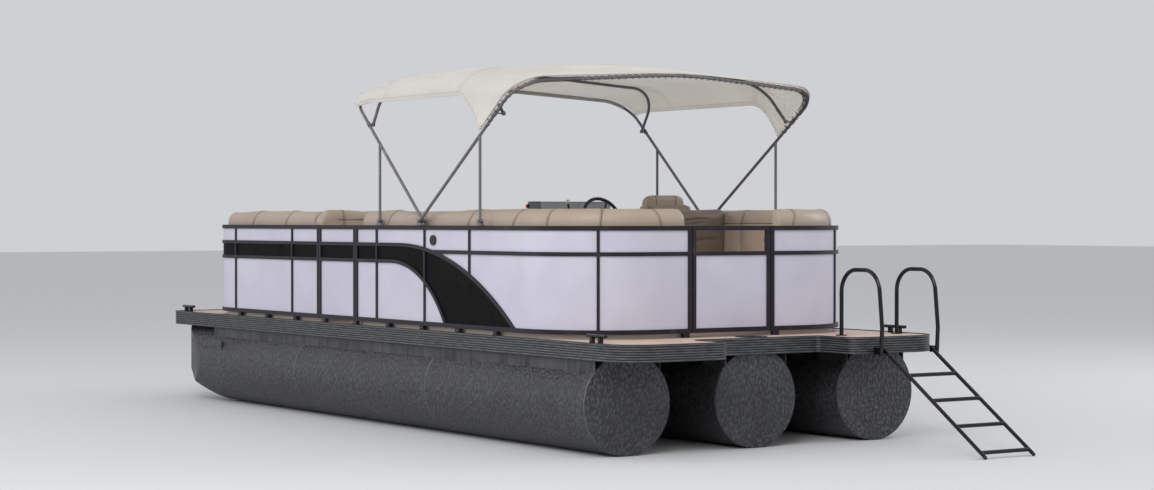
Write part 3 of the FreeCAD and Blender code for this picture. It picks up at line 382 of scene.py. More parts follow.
# %% Put the finishes on the frame
finishes = {
    "hull": hammered_aluminium(),
    "riser": riser_metal(),
    "rub_rail": fluted_vinyl(),
    "deck": deck_vinyl(),
    "fence": enamel("fence_enamel", rgb(34, 31, 39), 0.42, rgb(84, 80, 87)),
    "panel": panel_gelcoat(),
    "accent": enamel("accent_enamel", rgb(4, 4, 6), 0.55, rgb(16, 16, 20), 0.2, gleam=0.08),
    "screen": tinted_screen(),
    "gloss": gloss_black(),
    "socket": moulded_plastic("socket_plastic", rgb(12, 12, 14), 0.42),
    "shell": moulded_plastic("chair_shell", rgb(160, 144, 130), 0.45),
    "helm": moulded_plastic("helm_moulding", rgb(196, 190, 184), 0.38),
    "base": moulded_plastic("base_moulding", rgb(192, 184, 176), 0.5),
    "grip": moulded_plastic("grip_rubber", rgb(30, 30, 32), 0.55),
    "bimini": anodised_tube(),
}
rules = (               # a word in a node's name, and its finish; the first that fits counts
    ("risers", "riser"), ("cross_members", "riser"), ("pontoon", "hull"),
    ("rub_rail", "rub_rail"), ("deck_socket", "socket"), ("deck", "deck"),
    ("accent_band", "accent"), ("panel", "panel"), ("frame", "fence"), ("feet", "fence"),
    ("windscreen", "screen"), ("console", "helm"), ("bases", "base"), ("shell", "shell"),
    ("pedestal", "gloss"), ("grab_rails", "gloss"), ("ladder", "gloss"), ("cleats", "gloss"),
    ("steering", "grip"), ("throttle", "grip"), ("fitting", "socket"), ("bimini", "bimini"),
)


def give_finish(obj, material):
    obj.data.materials.clear()
    obj.data.materials.append(material)


for name, node in nodes.items():
    material = next((finishes[kind] for word, kind in rules if word in name), None)
    if material:
        give_finish(node, material)
    else:
        print("no rigid finish:", name)

# %% [markdown]
# ## Helpers for outlines and paths
# Seats, tubes and hems all follow lines with rounded corners. `rounded` takes the sharp corners and
# a radius for each, and gives back the points of the smooth line; an arc that meets both of its
# neighbours without a kink starts at radius over the tangent of half the angle from the corner.

# %% Rounded lines


def rounded(corners, closed=True, step=0.35):
    """Points of a flat line through corners (a, b, radius), each corner turned into an arc."""
    points = []
    count = len(corners)
    for i, (a, b, radius) in enumerate(corners):
        here = Vector((a, b))
        if not radius or (not closed and i in (0, count - 1)):
            points.append(here)
            continue
        back = (Vector(corners[i - 1][:2]) - here).normalized()
        on = (Vector(corners[(i + 1) % count][:2]) - here).normalized()
        half = back.angle(on) / 2
        centre = here + (back + on).normalized() * radius / math.sin(half)
        first = here + back * radius / math.tan(half) - centre
        last = here + on * radius / math.tan(half) - centre
        sweep = first.angle_signed(last)
        steps = max(2, round(abs(sweep) / step))
        points += [centre + Matrix.Rotation(-sweep * k / steps, 2) @ first
                   for k in range(steps + 1)]
    return points


def mesh_of(obj):
    """The mesh that an object's modifiers or curve bevel make."""
    ready = bpy.context.evaluated_depsgraph_get()
    ready.update()
    return bpy.data.meshes.new_from_object(obj.evaluated_get(ready))


def tube_mesh(points, radius, closed=False, sides=3):
    """A round tube along points, as a mesh."""
    curve = bpy.data.curves.new("tube_line", "CURVE")
    curve.dimensions = "3D"
    curve.bevel_depth = radius
    curve.bevel_resolution = sides
    curve.use_fill_caps = not closed
    line = curve.splines.new("POLY")
    line.points.add(len(points) - 1)
    for point, place in zip(line.points, points):
        point.co = (*place, 1.0)
    line.use_cyclic_u = closed
    holder = link(bpy.data.objects.new("tube_line", curve))
    mesh = mesh_of(holder)
    bpy.data.objects.remove(holder)
    return mesh


def smooth(obj, angle):
    """Smooth shading, with creases kept past an angle in degrees, if one is given."""
    for face in obj.data.polygons:
        face.use_smooth = True
    if angle:
        shape = bmesh.new()
        shape.from_mesh(obj.data)
        for edge in shape.edges:
            edge.smooth = (len(edge.link_faces) == 2
                           and edge.calc_face_angle(0) < math.radians(angle))
        shape.to_mesh(obj.data)
        shape.free()


def piece(name, shape, material, body, slot, angle=40):
    """A finished piece: an object at the origin with its finish, riding on its body, if any."""
    obj = shape if isinstance(shape, bpy.types.Object) else mesh_object(name, shape)
    obj.name = name
    give_finish(obj, material)
    smooth(obj, angle)
    if body:
        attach(obj, body)
    return obj


def tube_piece(name, lines, radius, material, body, slot, closed=False, sides=3, angle=None):
    """One piece made of tubes along these lines."""
    shape = bmesh.new()
    for line in lines:
        shape.from_mesh(tube_mesh(line, radius, closed, sides))
    return piece(name, shape, material, body, slot, angle)


def add_shape(shape, fresh):
    """Adds one shape's faces to another's."""
    mesh = bpy.data.meshes.new("part")
    fresh.to_mesh(mesh)
    fresh.free()
    shape.from_mesh(mesh)
    bpy.data.meshes.remove(mesh)


# %% [markdown]
# ## Vinyl, thread and piping
# Marine upholstery is a heavy vinyl with a pebbled grain. It is painted darker in the seams, a
# painted shade where light doesn't reach into the groove, and shines more on the crowns, where
# people sit. Each pad carries an attribute that is 1 in its seams, and the finish reads it.

# %% Upholstery finishes


def seat_vinyl(name, color, rough=0.46):
    finish = Finish(name, color, rough, coat=0.12)
    crackle = finish.noise(34.0, 6.0, roughness=0.6)
    broad = finish.spread(finish.noise(2.6, 4.0), 0.32, 0.68)
    seam = finish.add("ShaderNodeAttribute", {"attribute_name": "seam"}, output="Fac")
    aged = finish.mix(broad, shade(color, 0.93), shade(color, 1.05))
    grimy = finish.spread(crackle, 0.52, 0.75)
    soiled = finish.mix(grimy * 0.18, aged, shade(color, 0.72))
    # the seam attribute paints the grooves dark: painted shade
    return finish.wear(seam * 0.85, soiled, shade(color, 0.22),
                       (rough - 0.06) + 0.16 * broad + 0.1 * seam,
                       finish.cells(420.0) * 0.5 + crackle * 0.9, 0.0012, 0.55)


vinyl = seat_vinyl("seat_vinyl", rgb(169, 152, 137))
# a darker copy of the seat vinyl for the helm divider: painted shade
vinyl_painted_shade = seat_vinyl("seat_vinyl_dark", rgb(112, 99, 86), 0.5)
# the piping is the seat vinyl made lighter: a painted highlight along the welts
piping_vinyl_painted_highlight = seat_vinyl("seat_piping", rgb(196, 180, 166), 0.4)
thread_finish = Finish("thread", rgb(74, 62, 52), 0.7)
thread = thread_finish.wear(thread_finish.noise(900.0, 2.0), rgb(58, 48, 40), rgb(96, 82, 70))

# %% [markdown]
# ## A run along the fence
# The lounges hug the fence, round its corners too. It is easier to shape a seat back as one long
# straight roll and then to bend it. `Run` turns "so far along, so far in from the fence" into a
# place on the deck; its legs are straight stretches and left-hand arcs. The starboard side is the
# port side mirrored.

# %% Run


class Run:
    """A path along the outside of the fence."""

    def __init__(self, start, heading, legs):
        self.legs = []
        here, heading = Vector(start), math.radians(heading)
        for length, radius in legs:
            self.legs.append((length, radius, here.copy(), heading))
            if radius:
                centre = here + self.ways(heading)[1] * radius
                heading += length / radius
                here = centre - self.ways(heading)[1] * radius
            else:
                here = here + self.ways(heading)[0] * length
        self.length = sum(leg[0] for leg in legs)

    @staticmethod
    def ways(heading):
        ahead = Vector((math.cos(heading), math.sin(heading)))
        return ahead, Vector((-ahead.y, ahead.x))

    def place(self, along, inward):
        for leg in self.legs:
            if along <= leg[0] or leg is self.legs[-1]:
                break
            along -= leg[0]
        _, radius, here, heading = leg
        ahead, left = self.ways(heading)
        if radius:
            centre = here + left * radius
            return centre - self.ways(heading + along / radius)[1] * (radius - inward)
        return here + ahead * along + left * inward


fence_y = 1.247
fence_aft = -2.2155
aft_round, bow_round = 0.640, 0.350
aft_turn = Vector((fence_aft + aft_round, fence_y - aft_round))
bow_turn = Vector((2.9085, fence_y - bow_round))
bow_turned = math.radians(26)


def aft_run(fore_x, end_y):
    """From fore_x aft along the side, round the corner and in to end_y."""
    return Run((fore_x, fence_y), 180,
               [(fore_x - aft_turn.x, None), (aft_round * math.pi / 2, aft_round),
                (aft_turn.y - end_y, None)])


def bow_run(aft_x):
    """Part of the way round the bow's corner, then aft along the side to aft_x."""
    start = bow_turn + bow_round * Vector((math.sin(bow_turned), math.cos(bow_turned)))
    return Run(start, 180 - math.degrees(bow_turned),
               [(bow_round * bow_turned, bow_round), (bow_turn.x - aft_x, None)])


# %% [markdown]
# ## Padding by pressure
# A foam pad in a sewn cover is crowned, and its sides pull in between the seams. Painting that by
# hand never looks right, so the cover is blown up: a slightly small block is remeshed into even
# quads, the lines that are sewn down or lie against something are pinned, and Cloth with a little
# pressure swells the rest for twenty frames. How far a point may move is capped. Then the mesh is
# smoothed once, and the seams are cut in and pulled down, because remeshing would have closed them.

# %% Blocks
bevelled = {"profile": 0.5, "affect": "EDGES", "material": -1}


def block(low, high, rounds, end_round=0.011):
    """A box from low to high. rounds gives the radius of the four edges that run along it: top
    outer, top inner, bottom outer and bottom inner, where outer is the side of lower y."""
    shape = bmesh.new()
    low, high = Vector(low), Vector(high)
    bmesh.ops.create_cube(shape, size=1.0, matrix=Matrix.Translation((low + high) / 2)
                          @ Matrix.Diagonal((*(high - low), 1.0)))
    corners = ((low.y, high.z), (high.y, high.z), (low.y, low.z), (high.y, low.z))
    for corner, radius in zip(corners, rounds):
        edges = [e for e in shape.edges
                 if all(math.dist((v.co.y, v.co.z), corner) < 1e-5 for v in e.verts)]
        bmesh.ops.bevel(shape, geom=edges, offset=radius, segments=max(2, round(radius / 0.012)),
                        **bevelled)
    ends = [e for e in shape.edges
            if any(all(abs(v.co.x - x) < 1e-5 for v in e.verts) for x in (low.x, high.x))]
    bmesh.ops.bevel(shape, geom=ends, offset=end_round, segments=2, **bevelled)
    return shape


def slab(outline, bottom, top, edge=0.02):
    """A flat-lying block with this outline, its rims rounded."""
    shape = bmesh.new()
    rim = [shape.verts.new((*point, bottom)) for point in outline]
    face = shape.faces.new(rim)
    if face.normal.z > 0:
        face.normal_flip()
    lifted = bmesh.ops.extrude_face_region(shape, geom=[face])["geom"]
    bmesh.ops.translate(shape, vec=(0, 0, top - bottom),
                        verts=[g for g in lifted if isinstance(g, bmesh.types.BMVert)])
    if not any(set(f.verts) == set(rim) for f in shape.faces):
        shape.faces.new(rim)
    bmesh.ops.recalc_face_normals(shape, faces=shape.faces)
    rims = [e for e in shape.edges if abs(e.verts[0].co.z - e.verts[1].co.z) < 1e-6]
    bmesh.ops.bevel(shape, geom=rims, offset=edge, segments=3, **bevelled)
    return shape


# %% Swelling
frames = 20


def swell(name, shape, voxel, held, cap):
    """The block as a padded cover. held says which points of the cover can't move."""
    rough = mesh_object(name + "_block", shape)
    even = rough.modifiers.new("voxels", "REMESH")
    even.mode = "VOXEL"
    even.voxel_size = voxel
    cover = link(bpy.data.objects.new(name + "_cover", mesh_of(rough)))
    bpy.data.objects.remove(rough)
    start = [vertex.co.copy() for vertex in cover.data.vertices]
    pinned = cover.vertex_groups.new(name="pinned")
    pinned.add([i for i, co in enumerate(start) if held(co)], 1.0, "REPLACE")
    cloth = cover.modifiers.new("cloth", "CLOTH")
    cloth.settings.vertex_group_mass = "pinned"
    cloth.settings.use_pressure = True
    cloth.settings.uniform_pressure_force = 4.0
    cloth.settings.effector_weights.gravity = 0.0
    cloth.point_cache.frame_start, cloth.point_cache.frame_end = 1, frames
    for step in range(1, frames + 1):
        scene.frame_set(step)
    blown = mesh_of(cover)
    cover.modifiers.clear()
    for vertex, co, far in zip(cover.data.vertices, start, blown.vertices):
        move = far.co - co
        if move.length > cap:
            move *= cap / move.length
        vertex.co = co + move
    scene.frame_set(1)
    finer = cover.modifiers.new("finer", "SUBSURF")
    finer.levels = finer.render_levels = 1
    soft = bmesh.new()
    soft.from_mesh(mesh_of(cover))
    bpy.data.objects.remove(cover)
    print(name, "has", len(soft.faces), "faces")
    return soft


def rumple(shape, amount=0.0018, scale=5.0):
    """Slow, shallow unevenness, as foam and age give."""
    shape.normal_update()
    for vertex in shape.verts:
        vertex.co += vertex.normal * amount * noise.noise(vertex.co * scale)


# %% [markdown]
# ## Seams
# A seam is a plane that crosses the pad. The skin is cut along the plane and beside it, so that the
# groove has its own edges, and the middle is pulled in. Close to the seam the skin puckers. The
# cuts just outside the groove are kept as lines for the stitches.

# %% Sewing
shoulder_height = 0.12


def walk(edges):
    """The points of the longest line that these edges make, in order."""
    links = {}
    for edge in edges:
        a, b = edge.verts
        links.setdefault(a, []).append(b)
        links.setdefault(b, []).append(a)
    longest = []
    while links:
        ends = [v for v, near in links.items() if len(near) == 1]
        here = ends[0] if ends else next(iter(links))
        line = [here]
        while True:
            onward = [v for v in links.pop(here, []) if v in links]
            if not onward:
                break
            here = onward[0]
            line.append(here)
        if len(line) > len(longest):
            longest = line
    return longest


def cut_edges(shape, geom, point, normal):
    """Cuts the skin along a plane and returns the new edges."""
    cut = bmesh.ops.bisect_plane(shape, geom=geom, dist=0.0006, plane_co=point, plane_no=normal)
    return [g for g in cut["geom_cut"] if isinstance(g, bmesh.types.BMEdge)]


def sew(shape, seams, width=0.006, depth=0.007, stitched=True, where=None):
    """Cuts each (point, normal) seam in. Returns the lines for the stitches."""
    tag = shape.verts.layers.float.get("seam") or shape.verts.layers.float.new("seam")
    lines = []
    offsets = (-width * 1.9, -width, 0.0, width, width * 1.9)
    for point, normal in seams:
        point, normal = Vector(point), Vector(normal).normalized()
        cuts = {}
        for offset in offsets:
            near = [f for f in shape.faces
                    if abs((f.calc_center_median() - point).dot(normal) - offset) < 0.03]
            parts = list({v for f in near for v in f.verts} | {e for f in near for e in f.edges})
            cuts[offset] = cut_edges(shape, parts + near, point + normal * offset, normal)
        shape.normal_update()
        moves = []
        for vertex in shape.verts:
            away = abs((vertex.co - point).dot(normal))
            if away > 0.09 or (where and not where(vertex.co)):
                continue
            deep = max(0.0, 1 - away / width)
            wave = noise.noise(Vector((vertex.co.x * 9, vertex.co.y * 38, vertex.co.z * 38)))
            pucker = 0.0012 * (wave + 0.3) * math.exp(-away / 0.03)
            moves.append((vertex, vertex.normal * (depth * deep + pucker), deep))
        # the seam attribute marks the groove, where the finish paints shade
        for vertex, move, deep in moves:
            vertex.co -= move
            vertex[tag] = max(vertex[tag], deep)
        if stitched:
            for offset in (offsets[0], offsets[-1]):
                lines.append([(v.co.copy(), v.normal.copy()) for v in walk(cuts[offset])
                              if not where or where(v.co)])
    return lines


def seams_at(*xs):
    """Seams straight across a pad that lies along x."""
    return [((x, 0, 0), (1, 0, 0)) for x in xs]


def level_loop(shape, height):
    """Cuts the pad's skin level at a height and returns the loop."""
    geom = shape.verts[:] + shape.edges[:] + shape.faces[:]
    line = walk(cut_edges(shape, geom, (0, 0, height), (0, 0, 1)))
    shape.normal_update()
    return [(v.co.copy(), v.normal.copy()) for v in line]


def round_shoulder(shape, past, reach, head, drop):
    """Lowers a pad's top by up to drop. past says how far a point is into the shoulder, which is
    reach long; the pull fades out below the head."""
    for vertex in shape.verts:
        over = max(0.0, past(vertex.co.x)) / reach
        high = max(0.0, vertex.co.z - (head - shoulder_height)) / shoulder_height
        vertex.co.z -= drop * over ** 2.2 * high


# %% Stitches and piping
stitch_pitch, stitch_length, thread_radius = 0.0085, 0.0055, 0.0011


def stitch(shape, line, place):
    """A row of small stitches on top of the skin along line."""
    if len(line) < 3:
        return 0
    spots = []
    for co, normal in line:
        at = place(co)
        spots.append((at, (place(co + normal * 0.004) - at).normalized()))
    travelled, due, made = 0.0, stitch_pitch / 2, 0
    for (a, up), (b, _) in zip(spots, spots[1:]):
        gap = (b - a).length
        if gap > 0.06:                  # the line was broken off here
            travelled, due = 0.0, stitch_pitch / 2
            continue
        while gap > 1e-6 and travelled + gap >= due:
            at = a.lerp(b, (due - travelled) / gap) + up * thread_radius * 0.4
            ahead = (b - a).normalized()
            side = ahead.cross(up).normalized()
            turn = Matrix((side, up, ahead)).transposed().to_4x4()
            bmesh.ops.create_cone(shape, segments=4, radius1=thread_radius, radius2=thread_radius,
                                  cap_ends=True, depth=stitch_length,
                                  matrix=Matrix.Translation(at) @ turn)
            due += stitch_pitch
            made += 1
        travelled += gap
    return made


def threads(name, lines, place, kept=lambda co: True, body="hull"):
    """The stitches of a pad, along the parts of its lines that are kept."""
    shape = bmesh.new()
    made = sum(stitch(shape, [spot for spot in line if kept(spot[0])], place) for line in lines)
    print(name, "has", made, "stitches")
    return piece(name, shape, thread, body, "seat_vinyl_dark", angle=None)


def piping(name, loops, place, body="hull", radius=0.0045):
    """A welt: a covered cord sewn into the edge, along loops of the pad's own skin."""
    lines = [[place(co + normal * radius * 0.1) for co, normal in loop]
             for loop in loops if len(loop) > 8]
    return tube_piece(name, lines, radius, piping_vinyl_painted_highlight, body, "seat_vinyl", closed=True)


def bend(shape, place, mirrored=False):
    """Moves every point of a pad to where it belongs on the boat."""
    for vertex in shape.verts:
        vertex.co = place(vertex.co)
    if mirrored:
        bmesh.ops.reverse_faces(shape, faces=shape.faces)


def padded(name, shape, node=None, body="hull", material=vinyl, slot="seat_vinyl"):
    """The finished pad, which may stand for its CAD node."""
    obj = piece(name, shape, material, body, slot, angle=60)
    if node:
        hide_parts(node)


# %% [markdown]
# ## Seat backs
# Each back is one long roll, rounded over at the top outer edge. It rests on the seat cushion and
# leans on the fence up to the top rail, so those sides are pinned and stay flat.

# %% Seat backs
back_outer, back_inner = 0.048, 0.156
back_foot, back_head = 1.1575, 1.560
rail_clear = 1.50
seam_gap = 0.016
lean_foot, lean_reach = 1.44, 0.12


def along_run(run, side, leans):
    """How a straight roll's points go to their places: along, inward and up. A lean of (seam,
    amount) carries the head of a seam along by that amount, above the rail."""
    def place(co):
        high = max(0.0, co.z - lean_foot) / lean_reach
        slip = sum(amount * high * math.exp(-((co.x - seam) / lean_reach) ** 2)
                   for seam, amount in leans)
        flat = run.place(co.x + slip, co.y)
        return Vector((flat.x, side * flat.y, co.z))
    return place


def back_roll(name, length, seams):
    """A straight seat back: along x, inward y, up z."""
    shape = block((0.006, back_outer, back_foot), (length - 0.006, back_inner, back_head),
                  (0.085, 0.032, 0.012, 0.014))

    def held(co):
        return (co.z < back_foot + 0.012 or (co.y < back_outer + 0.012 and co.z < rail_clear)
                or any(abs(co.x - seam) < seam_gap for seam in seams))

    soft = swell(name, shape, 0.021, held, 0.012)
    rumple(soft)
    lines = sew(soft, seams_at(*seams))
    # this groove along the rail is painted dark too: painted shade
    sew(soft, [((0, 0, 1.455), (0, 0, 1))], width=0.005, depth=0.005,
        where=lambda co: co.y > 0.11, stitched=False)
    return soft, lines


def above_cushion(co):
    """The stitches lower down on a back are out of sight."""
    return co.z > 1.30


runs = {                # the run, its side, and each seam with how far its head leans along
    "port_aft_lounge": (aft_run(0.6925, 0.334), 1,
                        ((0.39, 0.075), (1.515, 0.075), (2.095, 0.07), (2.48, 0.02),
                         (2.885, 0.014), (3.345, -0.033))),
    "starboard_aft_lounge": (aft_run(-0.6015, 0.42), -1,
                             ((0.28, 0.06), (0.93, 0.07), (1.55, 0.02), (2.033, -0.03))),
    "port_bow_lounge": (bow_run(1.447), 1, ((0.55, 0.07), (1.13, 0.07))),
    "starboard_bow_lounge": (bow_run(1.447), -1, ((0.55, 0.07), (1.13, 0.07))),
}
backs = {}
for name, (run, side, leans) in runs.items():
    backs[name], lines = back_roll(name + "_back", run.length, [seam for seam, _ in leans])
    place = along_run(run, side, leans)
    bend(backs[name], place, side < 0)
    threads(name + "_back_stitches", lines, place, above_cushion)

# %% [markdown]
# ## Bow lounge rests
# At its aft end each bow lounge has a rest across it, to lean on with the legs forward. It belongs
# to the same cover as the back beside it. It is shaped along x and then turned to lie across the
# boat, its aft face outermost, and its outer top corner rounds over like the back's own.

# %% Bow lounge rests
rest_aft, rest_fore = 1.3275, 1.4395
rest_in, rest_out = 0.609, 1.199
rest_wide = rest_out - rest_in
rest_seam = rest_wide - 0.195


def across_boat(side):
    def place(co):
        return Vector((rest_aft + co.y, side * (rest_in + co.x), co.z))
    return place


for name, side in (("port_bow_lounge", 1), ("starboard_bow_lounge", -1)):
    roll = block((0, 0, back_foot), (rest_wide, rest_fore - rest_aft, back_head),
                 (0.04, 0.03, 0.012, 0.014))
    soft = swell(name + "_rest", roll, 0.018,
                 lambda co: co.z < back_foot + 0.012 or co.x > rest_wide - 0.02
                 or abs(co.x - rest_seam) < seam_gap, 0.012)
    round_shoulder(soft, lambda x: x - (rest_wide - 0.10), 0.10, back_head, 0.085)
    rumple(soft)
    lines = sew(soft, seams_at(rest_seam))
    # this groove is painted dark too: painted shade under the rolled top
    sew(soft, [((0, 0, 1.483), (0, 0, 1))], width=0.005, depth=0.006,
        where=lambda co: co.y < 0.06 and co.x < rest_wide - 0.14, stitched=False)
    place = across_boat(side)
    bend(soft, place, side > 0)
    add_shape(backs[name], soft)
    threads(name + "_rest_stitches", lines, place, above_cushion)

for name, shape in backs.items():
    padded(name + "_back_pad", shape, name + "_back")

# %% [markdown]
# ## Seat cushions
# A seat cushion is a boxed slab with a welt round its top edge and another below. Under the backs
# it can't rise. The aft lounges turn the corner in one cushion, sewn into sections.

# %% Seat cushions
cushion_low, cushion_high = 1.0475, 1.151
cushion_out, cushion_in = 0.048, 0.640
under_back = 0.172


def inward(x, y):
    """How far a point lies in from the fence's outside."""
    y = abs(y)
    if x > bow_turn.x and y > bow_turn.y:
        return bow_round - math.hypot(x - bow_turn.x, y - bow_turn.y)
    if x < aft_turn.x and y > aft_turn.y:
        return aft_round - math.hypot(x - aft_turn.x, y - aft_turn.y)
    if x < aft_turn.x:
        return x - fence_aft
    return fence_y - y


def arc(centre, radius, start, end, steps=9):
    """Points on an arc, its angles in degrees from the bow."""
    return [Vector(centre) + radius * Vector((math.cos(math.radians(a)), math.sin(math.radians(a))))
            for a in (start + (end - start) * k / steps for k in range(steps + 1))]


def aft_outline(fore_x, end_y):
    inner_x, inner_y = fence_aft + cushion_in, fence_y - cushion_in
    return ([Vector((fore_x, inner_y)), Vector((fore_x, fence_y - cushion_out))]
            + arc(aft_turn, aft_round - cushion_out, 90, 180)
            + [Vector((fence_aft + cushion_out, end_y)), Vector((inner_x, end_y)),
               Vector((inner_x, inner_y))])


def bow_outline(aft_x, fore_x=3.055):
    radius = bow_round - cushion_out
    turn = math.degrees(math.acos((fore_x - bow_turn.x) / radius))
    return ([Vector((aft_x, fence_y - cushion_in)), Vector((fore_x, fence_y - cushion_in))]
            + arc(bow_turn, radius, turn, 90) + [Vector((aft_x, fence_y - cushion_out))])


def beside(side):
    def place(co):
        return Vector((co.x, side * co.y, co.z))
    return place


corner_seam = ((0, 0.605, 0), (0, 1, 0))        # only reaches the part aft of the corner
seats = {               # the outline, its side and the seams
    "port_aft_lounge": (aft_outline(0.6885, 0.338), 1,
                        seams_at(0.10, -0.47, -1.03, -1.572) + [corner_seam]),
    "starboard_aft_lounge": (aft_outline(-0.6055, 0.424), -1,
                             seams_at(-1.03, -1.572) + [corner_seam]),
    "port_bow_lounge": (bow_outline(1.3275), 1, seams_at(1.92, 2.49)),
    "starboard_bow_lounge": (bow_outline(1.3275), -1, seams_at(1.92, 2.49)),
}
for name, (outline, side, seams) in seats.items():

    def held(co):
        return (co.z < cushion_low + 0.014 or inward(co.x, co.y) < under_back
                or ("bow" in name and co.x < rest_fore + 0.008)
                or (name == "starboard_aft_lounge" and co.x > -0.735)
                or any(abs((co - Vector(point)).dot(Vector(normal))) < 0.015
                       and (normal[0] or co.x < aft_turn.x) for point, normal in seams))

    soft = swell(name + "_cushion", slab(outline, cushion_low, cushion_high), 0.021, held, 0.013)
    rumple(soft, 0.0015)
    lines = []
    for seam in seams:
        lines += sew(soft, [seam],
                     where=(lambda co: co.x < aft_turn.x + 0.01) if seam == corner_seam else None)
    welts = [level_loop(soft, cushion_high - 0.014), level_loop(soft, cushion_low + 0.018)]
    place = beside(side)
    bend(soft, place, side < 0)
    padded(name + "_cushion_pad", soft, name + "_cushion")
    threads(name + "_cushion_stitches", lines, place,
            lambda co: co.z > cushion_low + 0.02 and inward(co.x, co.y) > 0.17)
    piping(name + "_cushion_piping", welts, place)

# %% [markdown]
# ## Helm divider and captain's chair
# The pad behind the chair closes off the starboard lounge. Its vinyl is the seat vinyl painted
# darker, painted shade where it stands in shade. Its slack cover has two long creases and a short
# one, where the skin is pulled in along a bowed line and painted darker still: painted shade. The
# chair has a seat and a back cushion inside a moulded shell, and a soft cap on each arm.

# %% Helm divider
divider_low, divider_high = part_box("helm_divider")
inset_by = Vector((0.005, 0.005, 0.003))
divider_low, divider_high = divider_low + inset_by, divider_high - inset_by
wide, thick = divider_high.y - divider_low.y, divider_high.x - divider_low.x
roll = block((0, 0, divider_low.z), (wide, thick, divider_high.z), (0.05, 0.04, 0.012, 0.014))
soft = swell("helm_divider_pad", roll, 0.016,
             lambda co: co.z < divider_low.z + 0.012 or co.x < 0.014, 0.010)
rumple(soft, 0.003, 6.0)
crease_shade = soft.verts.layers.float.get("seam") or soft.verts.layers.float.new("seam")
soft.normal_update()
crease_width, crease_depth = 0.008, 0.005
creases = (         # start and end across the pad, height at the start, fall and bow of the line
    (0.16, 0.40, 1.490, 0.022, 0.010), (0.20, 0.38, 1.470, 0.018, -0.006),
    (0.06, 0.46, 1.345, 0.055, 0.020))
moves = []
for vertex in soft.verts:
    if vertex.co.y > 0.06:
        continue
    for start, end, height, fall, bow in creases:
        t = (vertex.co.x - start) / (end - start)
        if not -0.1 < t < 1.1:
            continue
        line = height - fall * t + bow * math.sin(math.pi * t)
        fade = max(0.0, min(1.0, 5 * (t + 0.05), 5 * (1.05 - t)))
        fold = fade * math.exp(-((vertex.co.z - line) / crease_width) ** 2)
        moves.append((vertex, vertex.normal * crease_depth * fold, 0.55 * fold))
# the creases are painted dark through the seam attribute: painted shade in the folds
for vertex, move, dark in moves:
    vertex.co -= move
    vertex[crease_shade] = max(vertex[crease_shade], dark)
lines = sew(soft, seams_at(wide - 0.035), width=0.005, depth=0.005)


def divider_place(co):
    return Vector((divider_low.x + co.y, divider_low.y + co.x, co.z))


bend(soft, divider_place, True)
padded("helm_divider_pad", soft, "helm_divider", material=vinyl_painted_shade, slot="seat_vinyl_dark")
threads("helm_divider_stitches", lines, divider_place, lambda co: co.z > 1.18)

# %% Captain's chair
back_low, back_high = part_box("helm_chair_back")
wide, thick = back_high.y - back_low.y - 0.008, back_high.x - back_low.x - 0.006
proud = 0.012                   # the pad's crown stands a little above the shell's own line
fine_seam = {"width": 0.005, "depth": 0.006}


def chair_back_place(co):
    return Vector((back_low.x + 0.002 + co.y, back_low.y + 0.004 + co.x, co.z))


roll = block((0, 0, back_low.z + 0.004), (wide, thick, back_high.z + proud),
             (0.03, 0.045, 0.012, 0.02))
seams = (wide * 0.24, wide * 0.76)
soft = swell("helm_chair_back_pad", roll, 0.012,
             lambda co: co.y < 0.012 or co.z < back_low.z + 0.016
             or any(abs(co.x - seam) < 0.010 for seam in seams), 0.012)
round_shoulder(soft, lambda x: abs(x - wide / 2) - (wide / 2 - 0.07), 0.07, back_high.z, 0.020)
lines = sew(soft, seams_at(*seams), **fine_seam)
lines += sew(soft, [((0, 0, back_high.z - 0.13), (0, 0, 1))], where=lambda co: co.y > 0.02,
             **fine_seam)
bend(soft, chair_back_place, True)
padded("helm_chair_back_pad", soft, "helm_chair_back", body="helm_chair")
threads("helm_chair_back_stitches", lines, chair_back_place, lambda co: co.y > 0.03,
        body="helm_chair")

seat_low, seat_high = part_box("helm_chair_cushion")
seat_aft, seat_fore = seat_low.x + 0.004, seat_high.x - 0.006
seat_right, seat_left = seat_low.y + 0.004, seat_high.y - 0.004
seat_outline = rounded([(seat_aft, seat_right, 0.03), (seat_fore, seat_right, 0.062),
                        (seat_fore, seat_left, 0.062), (seat_aft, seat_left, 0.03)])
middle_y, seam_off = (seat_low.y + seat_high.y) / 2, 0.092
soft = swell("helm_chair_seat_pad", slab(seat_outline, seat_low.z + 0.003, seat_high.z - 0.006),
             0.012, lambda co: co.z < seat_low.z + 0.014
             or abs(abs(co.y - middle_y) - seam_off) < 0.009, 0.012)
lines = sew(soft, [((0, middle_y + off, 0), (0, 1, 0)) for off in (-seam_off, seam_off)],
            **fine_seam)
welt = level_loop(soft, seat_high.z - 0.016)
padded("helm_chair_seat_pad", soft, "helm_chair_cushion", body="helm_chair")
threads("helm_chair_seat_stitches", lines, Vector, lambda co: co.z > seat_high.z - 0.02,
        body="helm_chair")
piping("helm_chair_seat_piping", [welt], Vector, body="helm_chair", radius=0.0038)

# %% [markdown]
# ## Canopy
# The canopy is one sheet of woven acrylic over four bows. It is stretched from the aft bow to the
# front one, falls a little between them, turns down over the bows' corners and ends in a hem that
# dips in a long scallop to a tip on each leg. The sheet starts as a flat grid. Each point of the
# grid then gets its place from two lines: where the aft and front bows are at its height, and the
# cross section there, measured off along the cloth so that the weave isn't stretched.

